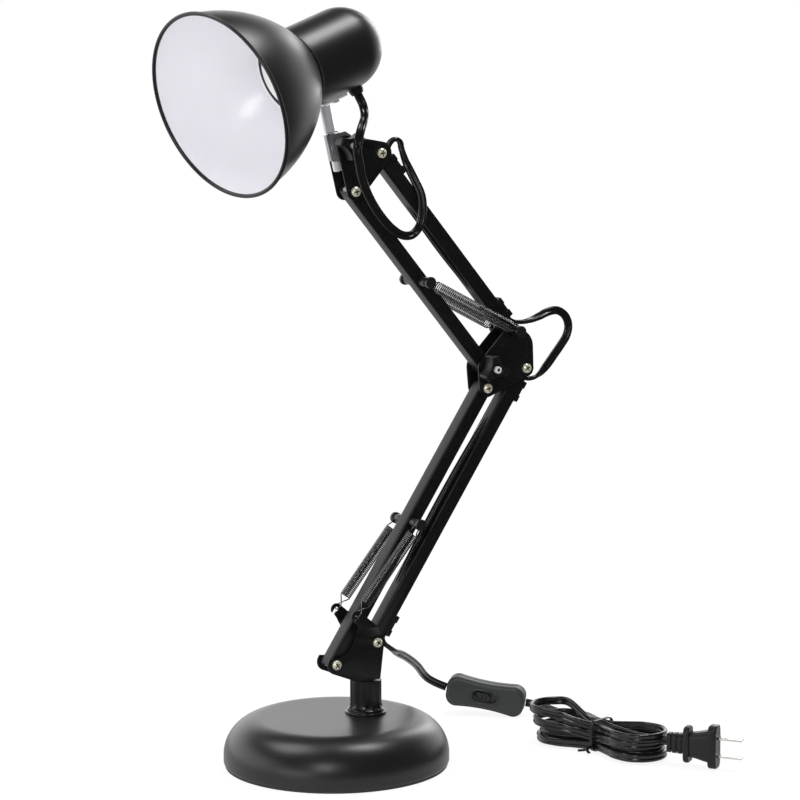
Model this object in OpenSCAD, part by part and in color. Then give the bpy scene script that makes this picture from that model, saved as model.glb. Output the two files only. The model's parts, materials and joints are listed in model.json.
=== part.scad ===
// Swing arm desk lamp: a weighted base, two sprung parallelogram arms and a swivelling head

/* [Base] */
// Diameter of the base
base_d = 160; // [130:1:200]
// Height of the base, from the table to its flat top
base_h = 34; // [32:1:44]
// Radius of the shoulder between the side and the flat top
shoulder_r = 26; // [14:1:26]
// Thickness of the steel cover
cover_wall = 1.6; // [1:0.1:2.4]
// Thickness of the foot pad
pad_t = 2; // [1:0.5:4]
// Thickness of the cast iron weight
weight_t = 17; // [12:0.5:18]
// Distance from the centre of the base to the arm's swivel
swivel_offset = 24; // [10:1:32]

/* [Socket] */
// Height of the fluted collar above the base
collar_h = 24; // [18:1:34]
// Wall of the collar round the pin's bore
collar_wall = 4.9; // [4:0.1:7]
// Number of flutes round the collar
flute_count = 10; // [8:1:16]
// Diameter of the swivel pin
pin_d = 12.7; // [10:0.1:14]
// Radial running clearance of the pin and the pivots
running = 0.05; // [0.02:0.01:0.08]

/* [Arms] */
// Distance between the pivots of the lower arm
lower_len = 225.6; // [200:0.2:260]
// Angle of the lower arm above the table
lower_angle = 56.4; // [50:0.2:75]
// Distance between the pivots of the upper arm
upper_len = 168.8; // [150:0.2:200]
// Angle of the upper arm, counted the same way
upper_angle = 130; // [115:1:150]
// Width of a bar across its channel
bar_w = 12; // [10:0.5:14]
// Height of a bar's channel
bar_h = 10; // [9:0.5:11]
// Thickness of the channel's steel
bar_wall = 1.2; // [0.8:0.1:1.6]
// Thickness of the bracket plates
plate_t = 1.2; // [1:0.1:2]
// Gap between a bar and a bracket plate
side_gap = 1.2; // [0.6:0.1:2]

/* [Pivots] */
// Diameter of the pivot screws
screw_d = 4; // [3:0.5:5]
// Diameter of the two clamp bolts
bolt_d = 5; // [4:0.5:5]
// Wall of the nylon bushes
bush_wall = 1; // [0.8:0.1:1.4]
// Diameter across the lobes of a clamp knob
knob_d = 20; // [16:0.5:21]
// Height of a clamp knob
knob_h = 11; // [8:0.5:14]

/* [Springs] */
// Outer diameter of the springs
spring_d = 8.4; // [7:0.2:9]
// Diameter of the spring wire
wire_d = 1.3; // [1:0.1:1.6]
// Turns of each lower spring
lower_turns = 19; // [14:1:22]
// Turns of each upper spring
upper_turns = 22; // [16:1:24]
// Distance of each spring from the arm's middle plane
spring_y = 15; // [14:0.2:17]

/* [Head] */
// Diameter of the shade's rim
shade_d = 130.4; // [116:0.2:150]
// Depth of the shade, from rim to neck
shade_depth = 66; // [56:0.5:76]
// Thickness of the shade and cup
shade_wall = 1; // [0.8:0.1:1.6]
// Diameter of the cup behind the shade
cup_d = 57.6; // [54:0.2:64]
// Length of the cup's straight part
cup_len = 47; // [38:0.5:56]
// Diameter of the chrome stem
stem_d = 6.3; // [5:0.1:7]
// Distance along the stem from the clamp bolt to the head's axis
stem_reach = 60.5; // [58:0.5:72]
// Lean of the stem towards the front
stem_lean = 12.5; // [-10:0.5:30]
// Angle between the stem and the head's axis
head_angle = 83.2; // [75:0.2:95]
// Turn of the head on its stem
head_turn = 12.8; // [-30:0.2:30]
// Bore of the screw shell that takes the lamp
lamp_bore_d = 26; // [25:0.1:27]

/* [Cord] */
// Width of the flat cord
cord_w = 6.2; // [5:0.1:7]
// Thickness of the flat cord
cord_t = 3.1; // [2.6:0.1:3.6]

/* [Hidden] */
$fn = 48;
eps = 0.01;
up = [0, 0, 1];
// Heights in the base and socket
cover_bottom_z = pad_t;
cover_top_inside_z = base_h - cover_wall;
pad_inset = 1;
weight_gap = 4;
weight_top_z = pad_t + weight_t;
socket_hole_d = pin_d + 2 * running + 5.2;
nut_t = 5;
nut_af = 27;
tail_bottom_z = cover_top_inside_z - nut_t - 2.5;
collar_top_z = base_h + collar_h;
collar_d = pin_d + 2 * collar_wall;
collar_flare = 2;
flange_d = collar_d + 7;
flange_t = 1.4;
flute_r = 3.2;
flute_depth = 0.7;
// Bracket plates, seen from the side as points [x, z]
swivel_x = swivel_offset;
web_z = collar_top_z + 0.8;
inner_y = bar_w / 2 + side_gap;
outer_y = inner_y + plate_t;
base_front = [swivel_x - 28, web_z + 14.2];
base_link = [33, 12.5];
base_rear = base_front + base_link;
function heading(a) = [cos(a), sin(a)];
lower_run = lower_len * heading(lower_angle);
upper_run = upper_len * heading(upper_angle);
elbow_front = base_front + lower_run;
elbow_rear = base_rear + lower_run;
elbow_rise = [1.2, 14.4];
head_link = [20.8, 26.1];
knee_front = elbow_front + elbow_rise;
knee_rear = knee_front + head_link;
head_front = knee_front + upper_run;
head_rear = knee_rear + upper_run;
clamp_point = head_front + [-7.1, 31.9];
lower_stud = base_front + 0.508 * lower_run;
upper_stud = knee_front + 0.5 * upper_run;
// Horns that the lower springs hook on
horn_hole = [swivel_x - 15.3, web_z + 48.8];
horn_r = 4.2;
horn_hole_r = 1.7;
// Pivot hardware
bush_d = screw_d + 2 * running + 2 * bush_wall;
bolt_bush_d = bolt_d + 2 * running + 2 * bush_wall;
pan_d = 7;
pan_h = 2.4;
hex_af = 7;
hex_t = 3.2;
bolt_head_d = 9;
bolt_head_h = 2.6;
knob_gap = 0.5;
knob_tip_y = -outer_y - knob_gap - knob_h;
stud_d = 4;
stud_shoulder_d = 7;
stud_cap_t = 3;
neck_half = wire_d / 2 + 0.5;
loop_r = stud_d / 2 + wire_d / 2 + 0.25;
// Cord clips in the rear bars
clip_start = 8;
clip_len = 16;
clip_proud = 3;
// Head, measured along its own axis from the rim of the shade
rim_r = shade_d / 2;
bead_r = 1.4;
neck_r = 34;
arc_r = 109.7;
cup_r = cup_d / 2;
cup_start = shade_depth + 2.9;
cup_end = cup_start + cup_len;
stem_station = cup_start + 23.1;
holder_r = 19.5;
holder_len = 46;
lip = 1.6;
shell_wall = 0.6;
strap_t = 1.6;
// Cord group on the table
switch_at = [164.5, 63.7];
switch_heading = -40;
switch_tilt = 9;
switch_len = 60;
switch_h = 23;
switch_corner = 8;
switch_edge = 1.6;
switch_t = 16;
hank_at = [182, -66];
hank_heading = -72.6;
hank_len = 112;
hank_w = 42;
hank_h = 26;
tie_w = 3;
tie_t = 0.8;
plug_at = [204.4, -127.2];
plug_heading = -53;
blade_pitch = 12.7;
// Routes of the free cord
main_route = [[41, 0, 80.5], [46, 1, 77], [54, 9, 72.5], [64, 20.5, 67.5], [75, 33, 62], [86, 45, 56],
    [97, 57, 49.5], [107, 68, 43], [115, 77, 37], [120.5, 82.5, 32.5], [127, 86.3, 27.5], [134, 86.6, 23.3],
    [140.9, 83.4, 19.9]];
switch_route = [[188, 44, 10.2], [194.5, 36, 8.8], [199, 24, 7.2], [201.3, 10, 6], [200.8, -4, 5.5],
    [197.8, -17, 5], [194, -28, 5]];
elbow_route = [[156.6, 0, 306.2], [162, 0, 307], [170, 0, 309.5], [178, 0, 312.5], [186, 0, 313],
    [192.5, 0, 309], [195.5, 0, 302], [194, 0, 294.5], [189, 0, 287.5], [183, 0, 280.5], [176.5, 0, 273],
    [170.5, 0, 267.5], [165.5, 0, 265], [160.3, 0, 264.6]];
head_route = [[54.8, 0, 433.6], [57.6, -1.5, 424], [62, -5.5, 412], [65.5, -9.2, 401], [66, -10, 389],
    [63.5, -10.2, 379.5], [57, -10.8, 373.5], [49, -11.5, 373.5], [40, -12.5, 378.5], [31, -13.5, 387],
    [23, -15.5, 396.5], [16, -18.5, 406.5], [10.5, -22.5, 416], [7.5, -24.8, 425], [5.4, -25.7, 433],
    [6.4, -25.5, 440], [9.8, -22.7, 447], [14.6, -17.4, 452], [19, -11.5, 455.2], [22, -6.2, 459.2],
    [22.4, -3, 464.5], [20.4, -1.3, 469.9]];
// Part of the head cord's length over which it twists out of the bar's channel
twist_rings = 4;

// Colours of the finishes
black_enamel = "#26262a";
black_plastic = "#1c1c1f";
white_enamel = "#e9e8ee";
chrome_plate = "#c9ccd0";
zinc_plate = "#d8d3b4";
steel = "#9a9ca0";
cast_iron = "#4c4c4e";
nylon = "#d9d9d2";

// --- Helpers ---
function unit(v) = v / norm(v);
function flat3(p) = [p.x, 0, p.y];

// Extrudes an outline drawn as [x, z] from y = low to y = high
module through(low, high)
    translate([0, high, 0]) rotate([90, 0, 0]) linear_extrude(high - low) children();

module round_at(p, r, low, high)
    through(low, high) translate(p) circle(r);

module hexagon_at(p, across, low, high)
    through(low, high) translate(p) circle(across / sqrt(3), $fn = 6);

// Two circles and the strip between their common tangents
module link(p, q, rp, rq) {
    u = unit(q - p);
    v = [-u.y, u.x];
    c = (rp - rq) / norm(q - p);
    s = sqrt(1 - c * c);
    translate(p) circle(rp);
    translate(q) circle(rq);
    polygon([p + rp * (c * u + s * v), p + rp * (c * u - s * v), q + rq * (c * u - s * v),
        q + rq * (c * u + s * v)]);
}

// A plate's outline: a loop of lobes, each [point, radius], and the field between them
module lobed_plate(lobes) {
    n = len(lobes);
    for (i = [0 : n - 1]) link(lobes[i][0], lobes[(i + 1) % n][0], lobes[i][1], lobes[(i + 1) % n][1]);
    polygon([for (l = lobes) l[0]]);
}

// Puts a bar's own frame (X along it, Z towards its web) on the arm
module along(p, angle)
    translate(flat3(p)) rotate([0, -angle, 0]) children();

// Puts a piece's own frame (X along it, Y out of its face, Z up) on the table
module on_table(p, angle)
    translate([p.x, p.y, 0]) rotate([0, 0, angle]) children();

// --- Swept tubes ---
function tangents(path) = [for (i = [0 : len(path) - 1])
    unit(path[min(i + 1, len(path) - 1)] - path[max(i - 1, 0)])];
function square_to(v, t) = unit(v - (v * t) * t);
function side_vectors(t, first) = [for (i = 0, s = square_to(first, t[0]); i < len(t);
    i = i + 1, s = i < len(t) ? square_to(s, t[i]) : s) s];

function spun(q, a) = [q.x * cos(a) - q.y * sin(a), q.x * sin(a) + q.y * cos(a)];

module sweep(path, section, across, twist = 0) {
    t = tangents(path);
    s = side_vectors(t, across);
    n = len(section);
    last = (len(path) - 1) * n;
    points = [for (i = [0 : len(path) - 1], p = section)
        let (q = spun(p, twist * min(1, i / twist_rings))) path[i] + q.x * s[i] + q.y * cross(t[i], s[i])];
    walls = [for (i = [0 : len(path) - 2], j = [0 : n - 1], half = [0, 1])
        let (a = i * n + j, b = i * n + (j + 1) % n)
        half == 0 ? [a, a + n, b + n] : [a, b + n, b]];
    caps = [[for (j = [0 : n - 1]) j], [for (j = [n - 1 : -1 : 0]) last + j]];
    polyhedron(points, concat(caps, walls));
}

cord_section = [for (a = [22.5 : 45 : 337.5]) [cord_w / 2 * cos(a) / cos(22.5), cord_t / 2 * sin(a) / cos(22.5)]];

// --- Base ---
module base_outline(inset) {
    r = base_d / 2 - inset;
    shoulder = shoulder_r - inset;
    low = base_h - shoulder_r;
    square([r - shoulder, base_h - inset]);
    square([r, low]);
    translate([r - shoulder, low]) intersection() {
        circle(shoulder, $fn = 96);
        square(shoulder);
    }
}

module base_shell() color(black_enamel) difference() {
    rotate_extrude($fn = 96) difference() {
        base_outline(0);
        base_outline(cover_wall);
        square([base_d, cover_bottom_z]);
    }
    translate([swivel_x, 0, 0]) cylinder(d = socket_hole_d + 2 * running, h = base_h + 1);
}

module base_weight() color(cast_iron) difference() {
    translate([0, 0, pad_t]) cylinder(r = base_d / 2 - cover_wall - weight_gap, h = weight_t - 3, $fn = 96);
    translate([swivel_x, 0, pad_t - 1]) cylinder(d = socket_hole_d + 6, h = weight_t + 2);
}

module foot_pad() color(black_plastic)
    cylinder(r = base_d / 2 - pad_inset, h = pad_t, $fn = 96);

module collar_profile() {
    r = collar_d / 2;
    square([r, collar_h - flange_t + eps]);
    difference() {
        square([r + collar_flare, 3 * collar_flare]);
        translate([r + 3 * collar_flare, 3 * collar_flare]) circle(3 * collar_flare);
    }
}

module socket_bush() color(black_plastic) translate([swivel_x, 0, 0]) difference() {
    union() {
        translate([0, 0, base_h + flange_t]) rotate_extrude() collar_profile();
        translate([0, 0, base_h]) cylinder(d = flange_d, h = flange_t);
        translate([0, 0, tail_bottom_z]) cylinder(d = socket_hole_d, h = base_h - tail_bottom_z + eps);
    }
    translate([0, 0, tail_bottom_z - 1]) cylinder(r = pin_d / 2 + running, h = collar_top_z);
    for (i = [0 : flute_count - 1]) rotate([0, 0, (i + 0.5) * 360 / flute_count])
        translate([collar_d / 2 + flute_r - flute_depth, 0, base_h + 2.5 * flange_t])
            cylinder(r = flute_r, h = collar_h, $fn = 24);
}

module socket_nut() color(steel) translate([swivel_x, 0, cover_top_inside_z - nut_t]) difference() {
    cylinder(r = nut_af / sqrt(3), h = nut_t, $fn = 6);
    translate([0, 0, -1]) cylinder(r = socket_hole_d / 2 + running, h = nut_t + 2);
}

// --- Base bracket ---
module bracket_outline() {
    field = [base_front, [swivel_x - 11, web_z + 1.5], [swivel_x + 6, web_z + 1.5], base_rear,
        [swivel_x - 0.4, web_z + 40], [swivel_x - 14, web_z + 51.5], [swivel_x - 14.5, web_z + 36]];
    difference() {
        union() {
            polygon(field);
            link(field[0], field[1], 6.8, 1.5);
            link(field[1], field[2], 1.5, 1.5);
            link(field[2], field[3], 1.5, 5.6);
            link(field[3], field[4], 5.6, 1.2);
            link(field[4], horn_hole, 1.2, horn_r);
            polygon([horn_hole + [-2, -7.6], horn_hole + [3, -14], field[4], horn_hole]);
        }
        translate([swivel_x - 28.6, web_z + 34.4]) circle(15.8, $fn = 64);
        translate(horn_hole) circle(horn_hole_r, $fn = 24);
        translate(horn_hole) rotate(-124) translate([0, -1.7]) square([12, 2.3]);
    }
}

// Half of the folded strip, seen from the front: web, upright plate and horn set outwards
function half_fold() = let (horn_in = spring_y - plate_t / 2, low = base_rear.y + pan_d / 2 + 1.4,
    high = low + 8, top = web_z + 60)
    [[outer_y, web_z], [outer_y, low], [horn_in + plate_t, high], [horn_in + plate_t, top], [horn_in, top],
    [horn_in, high + 0.5], [inner_y, low + 0.5], [inner_y, web_z + plate_t]];

module base_bracket() color(black_enamel) difference() {
    half = half_fold();
    n = len(half) - 1;
    intersection() {
        through(-2 * spring_y, 2 * spring_y) bracket_outline();
        translate([swivel_x - 60, 0, 0]) rotate([90, 0, 90]) linear_extrude(120)
            polygon(concat(half, [for (i = [n : -1 : 0]) [-half[i].x, half[i].y]]));
    }
    translate([swivel_x, 0, web_z - 1]) cylinder(r = pin_d / 2 - 2 + running, h = plate_t + 2);
    for (p = [base_front, base_rear]) round_at(p, screw_d / 2 + running, -2 * outer_y, 2 * outer_y);
}

module swivel_pin() color(steel) translate([swivel_x, 0, 0]) {
    translate([0, 0, tail_bottom_z + 1.5]) cylinder(d = pin_d, h = web_z - tail_bottom_z - 1.5);
    translate([0, 0, tail_bottom_z + 0.3]) cylinder(d1 = pin_d - 2.4, d2 = pin_d, h = 1.2 + eps);
    translate([0, 0, web_z - eps]) cylinder(r = pin_d / 2 - 2, h = plate_t + 2 * eps);
    translate([0, 0, web_z + plate_t]) cylinder(d = pin_d - 0.7, h = 1.6);
}

// --- Pivot hardware ---
module pan_screw(p) {
    round_at(p, screw_d / 2, -outer_y - eps, outer_y + hex_t + 1);
    difference() {
        round_at(p, pan_d / 2, -outer_y - pan_h, -outer_y);
        for (a = [45, 135]) through(-outer_y - pan_h - 1, -outer_y - pan_h + 1.2)
            translate(p) rotate(a) square([3.8, 1], center = true);
    }
}

module hex_nut(p) difference() {
    hexagon_at(p, hex_af, outer_y, outer_y + hex_t);
    round_at(p, screw_d / 2 + running, outer_y - 1, outer_y + hex_t + 1);
}

module base_pivot_screws() color(zinc_plate) for (p = [base_front, base_rear]) pan_screw(p);
module base_pivot_nuts() color(zinc_plate) for (p = [base_front, base_rear]) hex_nut(p);
module elbow_pivot_screws() color(zinc_plate) for (p = [elbow_front, elbow_rear]) pan_screw(p);
module elbow_pivot_nuts() color(zinc_plate) for (p = [elbow_front, elbow_rear]) hex_nut(p);
module head_pivot_screws() color(zinc_plate) for (p = [head_front, head_rear]) pan_screw(p);
module head_pivot_nuts() color(zinc_plate) for (p = [head_front, head_rear]) hex_nut(p);

module clamp_bolt(p) color(chrome_plate) {
    round_at(p, bolt_d / 2, knob_tip_y - 1.5, outer_y + eps);
    intersection() {
        round_at(p, bolt_head_d / 2, outer_y, outer_y + bolt_head_h);
        translate(flat3(p) + [0, outer_y + bolt_head_h - 8, 0]) sphere(8);
    }
}

module elbow_clamp_bolt() clamp_bolt(knee_front);
module head_clamp_bolt() clamp_bolt(clamp_point);

// Three-lobed clamp knob with hollow flanks and a raised boss
module clamp_knob(p, turn) color(black_plastic) difference() {
    union() {
        through(knob_tip_y, -outer_y - knob_gap) translate(p) rotate(turn) difference() {
            circle(d = knob_d);
            for (i = [0 : 2]) rotate(60 + 120 * i) translate([0.86 * knob_d, 0]) circle(0.5 * knob_d);
        }
        round_at(p, bolt_d / 2 + 2, knob_tip_y - 0.8, knob_tip_y + eps);
    }
    round_at(p, bolt_d / 2 + running, knob_tip_y - 2, -outer_y);
}

module elbow_knob() clamp_knob(knee_front, 85);
module head_knob() clamp_knob(clamp_point, 40);

// --- Bars ---
module bar_section() difference() {
    r = 1.5;
    union() {
        translate([-bar_w / 2, -bar_h / 2]) square([bar_w, bar_h - r]);
        translate([-bar_w / 2 + r, -bar_h / 2]) square([bar_w - 2 * r, bar_h]);
        for (s = [-1, 1]) translate([s * (bar_w / 2 - r), bar_h / 2 - r]) circle(r, $fn = 24);
    }
    translate([-bar_w / 2 + bar_wall, -bar_h]) square([bar_w - 2 * bar_wall, 1.5 * bar_h - bar_wall]);
}

module bar(p, angle, length, first_d, last_d) color(black_enamel) along(p, angle) difference() {
    intersection() {
        translate([-bar_h, 0, 0]) rotate([90, 0, 90]) linear_extrude(length + 2 * bar_h) bar_section();
        through(-bar_w, bar_w) link([0, 0], [length, 0], bar_h / 2, bar_h / 2);
    }
    round_at([0, 0], first_d / 2 + running, -bar_w, bar_w);
    round_at([length, 0], last_d / 2 + running, -bar_w, bar_w);
}

module bush(p, bore, outside) difference() {
    round_at(p, outside / 2, -inner_y + running, inner_y - running);
    round_at(p, bore / 2 + running, -inner_y - 1, inner_y + 1);
}

module stud_hole(p) round_at(p, stud_d / 2 + running, -bar_w, bar_w);

// Cross pin of a front bar, shouldered and capped at both ends for the spring loops
module spring_stud(p, start) color(black_enamel) {
    round_at(p, stud_d / 2, -spring_y - neck_half - eps, spring_y + neck_half + eps);
    for (s = [-1, 1]) {
        shoulder = [s * start, s * (spring_y - neck_half)];
        cap = [s * (spring_y + neck_half), s * (spring_y + neck_half + stud_cap_t)];
        round_at(p, stud_shoulder_d / 2, min(shoulder), max(shoulder));
        round_at(p, stud_shoulder_d / 2 + 0.6, min(cap), max(cap));
    }
}

module lower_front_bar() color(black_enamel) difference() {
    bar(base_front, lower_angle, lower_len, bush_d, bush_d);
    stud_hole(lower_stud);
}
module lower_front_bushes() color(nylon) for (p = [base_front, elbow_front]) bush(p, screw_d, bush_d);
module lower_rear_bar() bar(base_rear, lower_angle, lower_len, bush_d, bush_d);
module lower_rear_bushes() color(nylon) for (p = [base_rear, elbow_rear]) bush(p, screw_d, bush_d);
module lower_spring_stud() spring_stud(lower_stud, bar_w / 2);
module upper_front_bar() color(black_enamel) difference() {
    bar(knee_front, upper_angle, upper_len, bolt_bush_d, bush_d);
    stud_hole(upper_stud);
}
module upper_front_bushes() color(nylon) {
    bush(knee_front, bolt_d, bolt_bush_d);
    bush(head_front, screw_d, bush_d);
}
module upper_rear_bar() bar(knee_rear, upper_angle, upper_len, bush_d, bush_d);
module upper_rear_bushes() color(nylon) {
    bush(knee_rear, stud_d, bush_d);
    bush(head_rear, screw_d, bush_d);
}
module upper_spring_stud() spring_stud(upper_stud, bar_w / 2);
module elbow_spring_pin() spring_stud(knee_rear, outer_y + running);

// --- Cord held in the rear bars ---
// Clip that holds the cord in the channel's open side
module cord_clip(start) color(black_plastic) difference() {
    half = bar_w / 2 - bar_wall - 0.1;
    outer = -bar_h / 2 - clip_proud;
    union() {
        translate([start, -half, outer]) cube([clip_len, 2 * half, -1.2 - outer]);
        for (x = [0, clip_len - 5]) translate([start + x, -half - 0.6, outer - 0.6])
            cube([5, 2 * half + 1.2, clip_proud - 0.1 + 0.6]);
    }
    translate([start - 1, -cord_w / 2 - 0.1, outer + 1]) cube([clip_len + 2, cord_w + 0.2, bar_h]);
}

module lower_cord_clips() along(base_rear, lower_angle) {
    cord_clip(clip_start);
    cord_clip(lower_len - clip_start - clip_len);
}

module upper_cord_clips() along(knee_rear, upper_angle) {
    cord_clip(clip_start);
    cord_clip(upper_len - clip_start - clip_len);
}

// Outline of a cord of thickness t along a path of points [x, z]
function turned(path) = [for (i = [0 : len(path) - 1])
    let (u = unit(path[min(i + 1, len(path) - 1)] - path[max(i - 1, 0)])) [-u.y, u.x]];
function ribbon(path, t) = let (n = turned(path), m = len(path) - 1)
    concat([for (i = [0 : m]) path[i] + t / 2 * n[i]], [for (i = [m : -1 : 0]) path[i] - t / 2 * n[i]]);

cord_deep = bar_h / 2 - bar_wall - cord_t / 2 - 0.2;
cord_shallow = -bar_h / 2 - clip_proud + 1 + cord_t / 2 + 0.15;

module held_cord(p, angle, path) color(black_plastic) along(p, angle)
    through(-cord_w / 2, cord_w / 2) polygon(ribbon(path, cord_t));

module lower_arm_cord() held_cord(base_rear, lower_angle, [
    [2.6, -12], [3.2, -9.3], [4.8, -6.8], [7.4, cord_shallow], [20, cord_shallow + 0.3], [34, cord_deep],
    [lower_len - 34, cord_deep], [lower_len - 20, cord_shallow + 0.3], [lower_len - 8, cord_shallow],
    [lower_len - 5.6, -6.6], [lower_len - 4.2, -9.4]]);

module upper_arm_cord() held_cord(knee_rear, upper_angle, [
    [-4.6, -12.9], [-1, -9], [2.8, -6.5], [7.6, cord_shallow], [20, cord_shallow + 0.3], [34, cord_deep],
    [upper_len - 34, cord_deep], [upper_len - 20, cord_shallow + 0.3], [upper_len - 8, cord_shallow],
    [upper_len - 5, -7.4], [upper_len - 2.6, -11], [upper_len - 2, -15.2], [upper_len - 3.4, -18.4],
    [upper_len - 7, -19.6], [upper_len - 10, -18]]);

// --- Springs ---
// Wire of one spring: a hooked loop, the coil, and a second loop, along X from the first loop's centre
function hook_loop(x, side, tilt) = [for (a = [30 : 30 : 330])
    let (b = side > 0 ? a : 360 - a, c = x + side * loop_r * cos(b), h = loop_r * sin(b))
    tilt ? [c, 0, side > 0 ? h : -h] : [c, side > 0 ? h : -h, 0]];
function coil(x0, x1, turns, r, start, steps) = [for (i = [0 : turns * steps])
    let (a = start + i * 360 / steps) [x0 + (x1 - x0) * i / (turns * steps), r * cos(a), r * sin(a)]];

module spring(p, q, y, turns, tilt_first) {
    u = unit(q - p);
    span = norm(q - p);
    r = (spring_d - wire_d) / 2;
    lead = loop_r + wire_d + 1;
    first = hook_loop(0, 1, tilt_first);
    start = tilt_first ? 270 : 180;
    extra = tilt_first ? 0.75 : 0;
    body = coil(lead, span - lead, turns + extra, r, start, 8);
    last = hook_loop(span, -1, false);
    path = concat(first, body, last);
    section = [for (a = [0 : 72 : 288]) wire_d / 2 * [cos(a), sin(a)]];
    multmatrix([[u.x, u.y, 0, p.x], [0, 0, 1, y], [u.y, -u.x, 0, p.y], [0, 0, 0, 1]])
        sweep(path, section, tilt_first ? [0, 1, 0] : [0, 0, 1]);
}

hook_seat = horn_hole + loop_r * unit(lower_stud - horn_hole);
module lower_spring(y) color(steel) spring(hook_seat, lower_stud, y, lower_turns, true);
module upper_spring(y) color(steel) spring(knee_rear, upper_stud, y, upper_turns, false);
module lower_spring_near() lower_spring(-spring_y);
module lower_spring_far() lower_spring(spring_y);
module upper_spring_near() upper_spring(-spring_y);
module upper_spring_far() upper_spring(spring_y);

// --- Elbow and head plates ---
module elbow_outline() difference() {
    lobed_plate([[elbow_front, 6.5], [elbow_rear, 6.2], [knee_rear + [3.7, -12.4], 13], [knee_rear, 5.5],
        [knee_front, 9]]);
    for (p = [elbow_front, elbow_rear]) translate(p) circle(screw_d / 2 + running);
    translate(knee_front) circle(bolt_d / 2 + running);
    translate(knee_rear) circle(stud_d / 2 + running);
}

module head_outline() difference() {
    lobed_plate([[head_front, 6.5], [head_rear, 8], [clamp_point, 7]]);
    for (p = [head_front, head_rear]) translate(p) circle(screw_d / 2 + running);
    translate(clamp_point) circle(bolt_d / 2 + running);
}

module elbow_near_plate() color(black_enamel) through(-outer_y, -inner_y) elbow_outline();
module elbow_far_plate() color(black_enamel) through(inner_y, outer_y) elbow_outline();
module head_near_plate() color(black_enamel) through(-outer_y, -inner_y) head_outline();
module head_far_plate() color(black_enamel) through(inner_y, outer_y) head_outline();

// --- Stem and clamp ---
stem_up = [-sin(stem_lean), cos(stem_lean)];
stem_back = [cos(stem_lean), sin(stem_lean)];
stem_gap = (stem_d + bolt_d) / 2 + 0.25;
stem_foot = clamp_point - stem_gap * stem_back;
stem_tail = 17;
clamp_half = 9.5;
clamp_y = inner_y - 0.1;
clamp_t = 1.8;

// Puts the stem's own frame (Z up along it, X towards the bolt) on the head bracket
module on_stem() translate(flat3(stem_foot)) rotate([0, -stem_lean, 0]) children();

// Leaves of the clamp, seen along the stem: they spread from the ring to the bracket's plates
module clamp_leaves() {
    leaf_end = stem_gap + 6;
    half = [[-1.2, stem_d / 2 + clamp_t - 0.4], [stem_gap - 2.4, clamp_y], [leaf_end, clamp_y],
        [leaf_end, clamp_y - clamp_t], [stem_gap - 1.9, clamp_y - clamp_t], [2, 1.8]];
    n = len(half) - 1;
    polygon(concat(half, [for (i = [n : -1 : 0]) [half[i].x, -half[i].y]]));
}

module stem_clamp() color(chrome_plate) on_stem() difference() {
    intersection() {
        translate([0, 0, -clamp_half]) union() {
            cylinder(r = stem_d / 2 + clamp_t, h = 2 * clamp_half);
            linear_extrude(2 * clamp_half) clamp_leaves();
        }
        through(-bar_w, bar_w) polygon([[-10, clamp_half - 1.5], [-10, 2.5 - clamp_half],
            [0, -clamp_half - 1], [stem_gap + 2, -clamp_half], [stem_gap + 7, -5], [stem_gap + 7, 5],
            [stem_gap + 2, clamp_half], [-2, clamp_half + 1]]);
    }
    translate([0, 0, -2 * clamp_half]) cylinder(r = stem_d / 2 + running, h = 4 * clamp_half);
    translate([0, -0.8, -2 * clamp_half]) cube([stem_gap, 1.6, 4 * clamp_half]);
    round_at([stem_gap, 0], bolt_d / 2 + running, -bar_w, bar_w);
}

module head_stem() color(chrome_plate) on_stem() {
    top = stem_reach - (cup_r + strap_t) / sin(head_angle) - 0.6;
    translate([0, 0, -stem_tail + 1.5]) cylinder(d = stem_d, h = top + stem_tail - 1.5);
    intersection() {
        translate([0, 0, -stem_tail]) cylinder(d = stem_d, h = 1.5 + eps);
        translate([0, 0, -stem_tail + stem_d * 0.72]) sphere(d = stem_d * 1.44);
    }
}

// --- Head ---
// Puts the head's own frame on the stem: Z from the rim to the back, X away from the stem
module on_head() on_stem() translate([0, 0, stem_reach]) rotate([0, 0, head_turn]) rotate([0, head_angle, 0])
    rotate([0, 0, 180]) translate([0, 0, -stem_station]) children();

function arc_centre_r(z0, r0, z1, r1, rho) = let (m = [r0 + r1, z0 + z1] / 2, d = [r1 - r0, z1 - z0],
    h = sqrt(rho * rho - norm(d) * norm(d) / 4)) m - h * unit([d.y, -d.x]);
skirt = arc_centre_r(bead_r, rim_r - bead_r, shade_depth - 2, neck_r, arc_r);

module skirt_profile() intersection() {
    difference() {
        translate(skirt) circle(arc_r, $fn = 128);
        translate(skirt) circle(arc_r - shade_wall, $fn = 128);
    }
    translate([neck_r - 4, bead_r]) square([rim_r, shade_depth - 2 - bead_r]);
}

module shade() color(black_enamel) rotate_about_head() {
    skirt_profile();
    translate([rim_r - bead_r, bead_r]) circle(bead_r, $fn = 24);
    difference() {
        translate([neck_r - 4.2, shade_depth - 3.4]) circle(4.2, $fn = 32);
        translate([neck_r - 4.2, shade_depth - 3.4]) circle(4.2 - shade_wall, $fn = 32);
        translate([0, shade_depth - 12]) square([neck_r - 4.2, 20]);
        translate([0, 0]) square([2 * neck_r, shade_depth - 3.4]);
    }
    translate([holder_r + running, shade_depth + 0.8 - shade_wall]) square([neck_r - 4 - holder_r, shade_wall]);
}

module rotate_about_head() on_head() rotate_extrude($fn = 96) children();

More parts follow.
